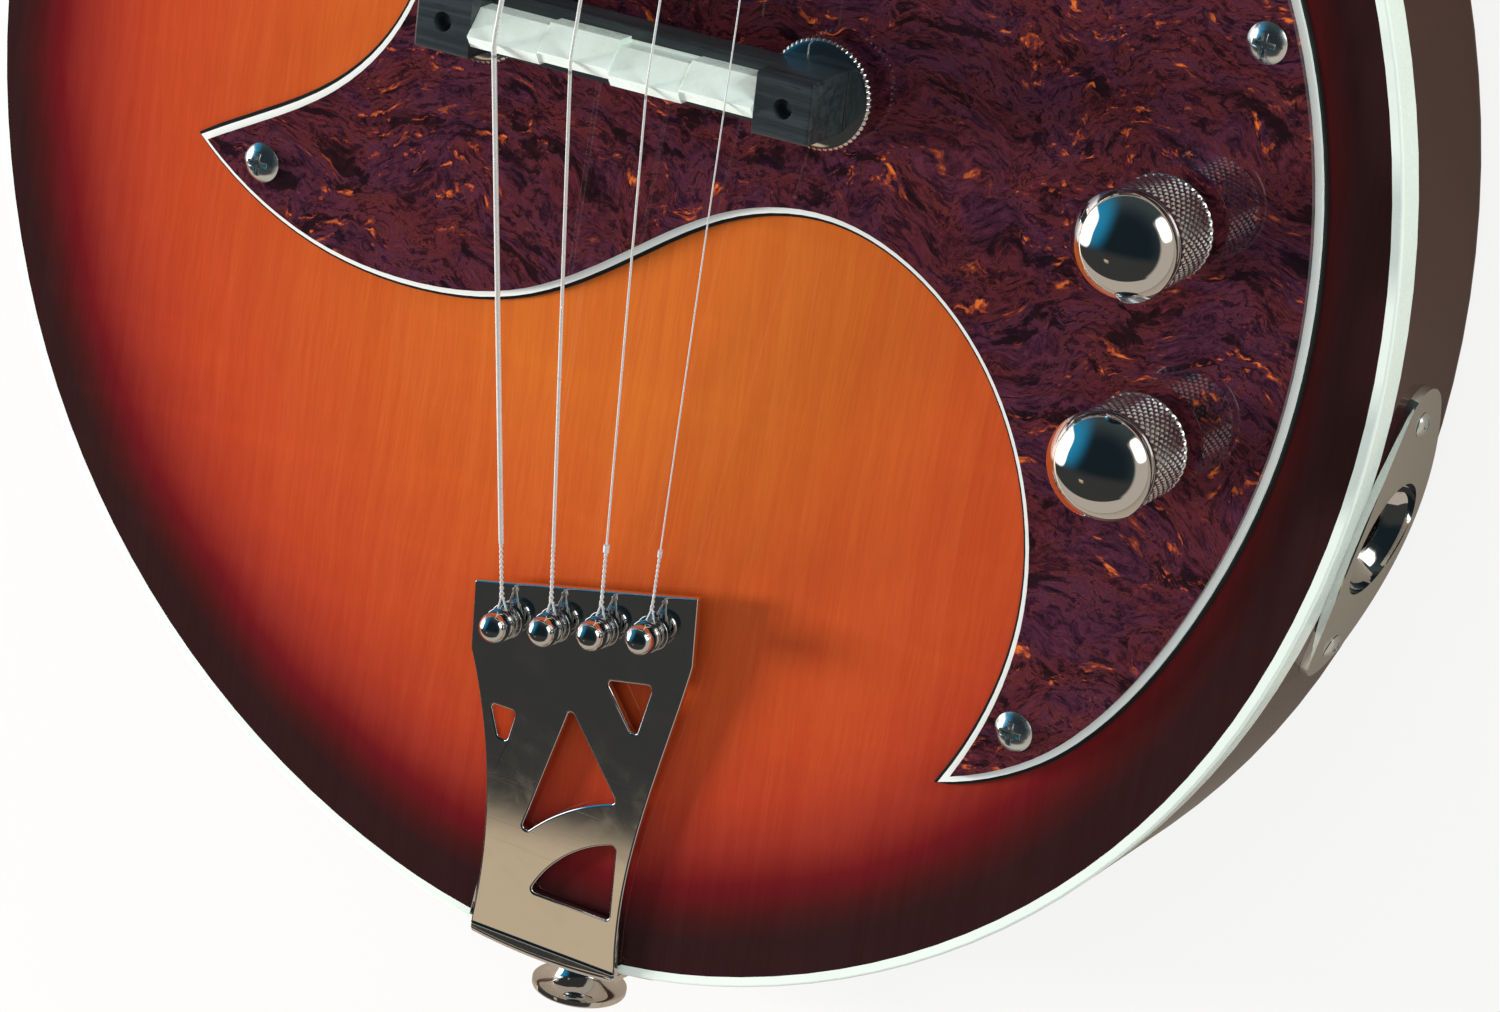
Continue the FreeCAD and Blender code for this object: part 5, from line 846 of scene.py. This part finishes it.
def makeTail(index, name):
    # from the peg to the saddle: the wire splits round the peg, its two halves twist about each other
    # (two helices half a turn apart), and then one straight wire goes on to the saddle
    loop, over, _, _, lift = stringPlaces(index)
    r = stringForm["radii"][index]
    wound = index < 2
    core = 0.17 if wound else min(r, 0.16)
    way = unit(over - loop)
    across = unit(np.cross(way, (0, 0, 1.0)))
    up = np.cross(across, way)
    ring = pegForm["groove"] + core + 0.02
    flat = unit(way - lift * (way @ lift))
    beside = np.cross(lift, flat)
    join = loop + way * stringForm["split"]
    touch = math.acos(ring / 4.8)
    arc = np.linspace(touch, tau - touch, 40)[:, None]
    around = loop + ring * (np.cos(arc) * flat + np.sin(arc) * beside)
    t = np.linspace(0, 1, 12, endpoint=False)[:, None]
    bow = [join + (touching - join) * t for touching in (around[0], around[-1])]
    path = np.concatenate([bow[0], around, bow[1][::-1]])
    grids = [tubeAlong(path, core, 10, tuple(lift))]
    s = np.linspace(0, stringForm["twist"], 150)[:, None]
    phase = tau * s / stringForm["twistPitch"]
    spread = core * 1.02 + 0.25 * np.exp(-s / 0.7)
    for half in (0, math.pi):
        strand = join - way * 0.6 + way * s + spread * (np.cos(phase + half) * across + np.sin(phase + half) * up)
        grids.append(tubeAlong(strand, core, 8, tuple(up)))
    begin = join + way * (stringForm["twist"] - 1.2)
    if not wound:
        knot = np.linspace(0, 1, 80)[:, None]
        phase = 5 * tau * knot
        turns = begin + way * (0.2 + 1.3 * knot) + (r + core + 0.02) * (np.cos(phase) * across + np.sin(phase) * up)
        grids.append(tubeAlong(turns, core * 0.9, 8, tuple(way)))
    grids.append(tubeAlong(bendThrough([begin, over], [], 1.5), r, 16))
    piece = addString(index, name, grids, loop, way)
    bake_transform(piece)
    return piece


def makeRun(index, name):
    # from the saddle over the nut to the post, bent smoothly at both
    loop, over, nut, end, _ = stringPlaces(index)
    r = stringForm["radii"][index]
    way = unit(over - loop)
    path = bendThrough([over - way * 2.2, over, nut, end], [1.6, 1.5], 2.5)
    piece = addString(index, name, [tubeAlong(path, r, 16)], over, unit(nut - over))
    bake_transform(piece)
    return piece


for index, letter in enumerate("GDAE"):
    tail = makeTail(index, "tailEnd" + letter)
    run = makeRun(index, "string" + letter)
    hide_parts("strings_wound" if index < 2 else "strings_plain")
    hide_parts("strings_wound" if index < 2 else "strings_plain")
print("strings made")


# plates and covers whose CAD form stays, with their edges broken

# the black ply is grown 0.3 mm past its CAD outline: its own edge plus a painted shade band standing in for the
# guard's shadow and reflection on the lacquer
softened("guardEdgeWithPaintedShade", "pickguard_black_ply", "instrument", "black_plastic", 0.15, 2, 35.0, grow=0.3)
for shape in (("screwHeads", "dome_head_screws", "instrument", "bright_chrome", 0.1, 2, 35.0),
              ("jackCover", "jack_plate", "instrument", "bright_chrome", 0.3),
              ("pickupCase", "pickup_cover", "pickup", "bright_chrome", 0.2),
              ("pickupFrame", "pickup_ring", "instrument", "black_plastic", 0.2, 2),
              ("nutBlock", "nut", "instrument", "bone", 0.2, 2),
              ("rodCover", "truss_rod_cover", "instrument", "black_plastic", 0.2, 2)):
    softened(*shape)
print("hardware made")


# floor, lights and camera

stageForm = {"floor": 6.0, "under": -0.0002, "pale": (0.80, 0.73, 0.65), "mirrored": (0.42, 0.32, 0.23),
             "whiteSeen": 0.85, "whiteMirrored": 0.06}


def makeStage():
    # pale floor: lit like any surface, with a white glow added where the camera or a mirror sees it
    mesh = bpy.data.meshes.new("floor")
    h, z = stageForm["floor"], stageForm["under"]
    mesh.from_pydata([(-h, -h, z), (h, -h, z), (h, h, z), (-h, h, z)], [], [(0, 1, 2, 3)])
    floor = addObject("floor", mesh)
    material = bpy.data.materials.new("pale floor")
    material.use_nodes = True
    tree = material.node_tree
    shader = tree.nodes["Principled BSDF"]
    shader.inputs["Roughness"].default_value = 0.9
    ray = addNode(tree, "ShaderNodeLightPath").outputs
    pale = mixColour(tree, ray["Is Glossy Ray"], stageForm["pale"], stageForm["mirrored"])
    connect(tree, pale, shader, "Base Color")
    seen = calc(tree, "MAXIMUM", ray["Is Camera Ray"], ray["Is Transmission Ray"])
    share = calc(tree, "MAXIMUM", times(tree, seen, stageForm["whiteSeen"]),
                 times(tree, ray["Is Glossy Ray"], stageForm["whiteMirrored"]))
    glow = addNode(tree, "ShaderNodeEmission", {"Strength": 1.0})
    mix = addNode(tree, "ShaderNodeMixShader", {0: share, 1: shader.outputs[0], 2: glow.outputs[0]})
    tree.links.new(mix.outputs[0], tree.nodes["Material Output"].inputs["Surface"])
    mesh.materials.append(material)


# colours of what mirrors see, and where it is: bearings are azimuth and elevation, pairs are the ends of a soft
# edge, a window is a bearing, its half width, half height and softness
studioForm = {"matt": (0.58, 0.60, 0.62), "dark": (0.009, 0.016, 0.021), "haze": (0.045, 0.060, 0.062),
              "dim": (0.040, 0.040, 0.039), "wall": (0.49, 0.43, 0.36), "glow": (0.020, 0.260, 0.460),
              "window": (2.5, 2.5, 2.5), "card": (0.60, 0.47, 0.32), "hazeEdge": (0.05, 0.75), "glowAt": (166, 18),
              "glowEdge": (0.60, 1.0), "dimEdge": (0.12, 0.42), "wallWay": (0.08, -1.0, -1.0),
              "wallEdge": (0.42, 0.44), "sideEdge": (0.50, 0.62), "sideTop": (0.36, 0.46), "cardAside": 0.53,
              "cardLean": -0.12, "cardStart": (0.587, 0.597), "cardHalf": (0.05, 0.13), "cardEnd": (0.64, 0.78),
              "windows": ((178, 9, 0.36, 0.33, 0.35), (35, 11, 0.33, 0.19, 0.45))}


def bearing(azimuth, elevation):
    # (cos e cos a, cos e sin a, sin e)
    a, e = math.radians(azimuth), math.radians(elevation)
    return math.cos(e) * math.cos(a), math.cos(e) * math.sin(a), math.sin(e)


def facing(tree, way, azimuth, elevation):
    # how far a direction leans right, up and forward of a bearing: its dot products with that bearing's axes
    return [dot(tree, way, axis) for axis in (bearing(azimuth + 90, 0), bearing(azimuth, elevation + 90),
                                              bearing(azimuth, elevation))]


def softWindow(tree, way, azimuth, elevation, wide, tall, soft):
    # mask of a rounded softbox seen at a bearing: |right / wide|^3 + |up / tall|^3 stays below 1, with a soft edge
    right, up, ahead = facing(tree, way, azimuth, elevation)
    sides = [calc(tree, "POWER", calc(tree, "ABSOLUTE", calc(tree, "DIVIDE", lean, half)), 3.0)
             for lean, half in ((right, wide), (up, tall))]
    inside = inverse(tree, stepUp(tree, calc(tree, "ADD", *sides), 1.0 - soft, 1.0 + soft))
    return times(tree, inside, calc(tree, "GREATER_THAN", ahead, 0.0))


def makeWorld():
    # camera rays see white; matt surfaces get one even soft light; mirrors see a dark room with a pale wall low
    # behind the tail and on the right, a card above the tail, two softboxes and the glow round the left one
    world = bpy.data.worlds.new("studio")
    bpy.context.scene.world = world
    world.use_nodes = True
    tree = world.node_tree
    look = studioForm
    ray = addNode(tree, "ShaderNodeLightPath").outputs
    way = addNode(tree, "ShaderNodeTexCoord").outputs["Generated"]
    part = addNode(tree, "ShaderNodeSeparateXYZ", {0: way}).outputs
    mirror = mixColour(tree, inverse(tree, stepUp(tree, part["Z"], *look["hazeEdge"])), look["dark"], look["haze"])
    glow = stepUp(tree, facing(tree, way, *look["glowAt"])[2], *look["glowEdge"])
    mirror = mixColour(tree, calc(tree, "POWER", glow, 1.8), mirror, look["glow"])
    south, west = times(tree, part["Y"], -1.0), times(tree, part["X"], -1.0)
    mirror = mixColour(tree, stepUp(tree, south, *look["dimEdge"]), mirror, look["dim"])
    behind = stepUp(tree, dot(tree, way, look["wallWay"]), *look["wallEdge"])
    mirror = mixColour(tree, behind, mirror, look["wall"])
    above = calc(tree, "MAXIMUM", part["Z"], 0.01)
    aside = calc(tree, "SUBTRACT", calc(tree, "DIVIDE", west, above), look["cardAside"])
    steep = calc(tree, "MULTIPLY_ADD", aside, look["cardLean"], calc(tree, "DIVIDE", south, above))
    card = times(tree, stepUp(tree, steep, *look["cardStart"]),
                 inverse(tree, stepUp(tree, calc(tree, "ABSOLUTE", aside), *look["cardHalf"])))
    card = times(tree, card, inverse(tree, stepUp(tree, steep, *look["cardEnd"])))
    mirror = mixColour(tree, card, mirror, look["card"])
    beside = times(tree, stepUp(tree, part["X"], *look["sideEdge"]),
                   inverse(tree, stepUp(tree, part["Z"], *look["sideTop"])))
    mirror = mixColour(tree, beside, mirror, look["wall"])
    for window in look["windows"]:
        mirror = mixColour(tree, softWindow(tree, way, *window), mirror, look["window"])
    colour = mixColour(tree, ray["Is Glossy Ray"], look["matt"], mirror)
    seen = calc(tree, "MAXIMUM", ray["Is Camera Ray"], ray["Is Transmission Ray"])
    colour = mixColour(tree, seen, colour, (1.0, 1.0, 1.0))
    tree.links.new(colour, tree.nodes["Background"].inputs["Color"])
    tree.nodes["Background"].inputs["Strength"].default_value = 1.0


# bearing of each lamp from the target, its side in metres, radiance and colour
lampForm = {"target": (0.02, -0.06, 0.04), "distance": 1.5,
            "lamps": (("key lamp", 192, 15, 0.3, 140.0, (1.0, 0.98, 0.95)),
                      ("fill lamp", 36, 12, 0.4, 20.0, (0.86, 1.0, 0.95)))}


def addLamp(name, azimuth, elevation, side, radiance, colour):
    # square lamp that mirrors don't see; power = radiance * area * pi
    way = Vector(bearing(azimuth, elevation))
    data = bpy.data.lights.new(name, "AREA")
    data.shape = "RECTANGLE"
    data.size = data.size_y = side
    data.energy = radiance * side * side * math.pi
    data.color = colour
    lamp = addObject(name, data)
    lamp.location = Vector(lampForm["target"]) + way * lampForm["distance"]
    lamp.rotation_euler = way.to_track_quat("Z", "Y").to_euler()
    lamp.visible_glossy = False


makeStage()
makeWorld()
for lampValues in lampForm["lamps"]:
    addLamp(*lampValues)

cameraForm = {"place": (0.4381905, 0.2831481, 0.8710712), "right": (0.86301513, 0.14193, -0.48483066),
              "down": (0.29104528, -0.92413036, 0.24753934), "lens": 151.4834, "sensor": 36.0}


def makeCamera():
    # camera axes: right, up (against down) and back (right x up)
    data = bpy.data.cameras.new("camera")
    data.sensor_width = cameraForm["sensor"]
    data.lens = cameraForm["lens"]
    data.clip_start, data.clip_end = 0.01, 50.0
    camera = addObject("camera", data)
    right, up = Vector(cameraForm["right"]), -Vector(cameraForm["down"])
    axes = Matrix((right, up, right.cross(up))).transposed().to_4x4()
    camera.matrix_world = Matrix.Translation(cameraForm["place"]) @ axes
    bpy.context.scene.camera = camera


makeCamera()
bpy.context.scene.view_settings.view_transform = "Standard"
print("stage and camera made")
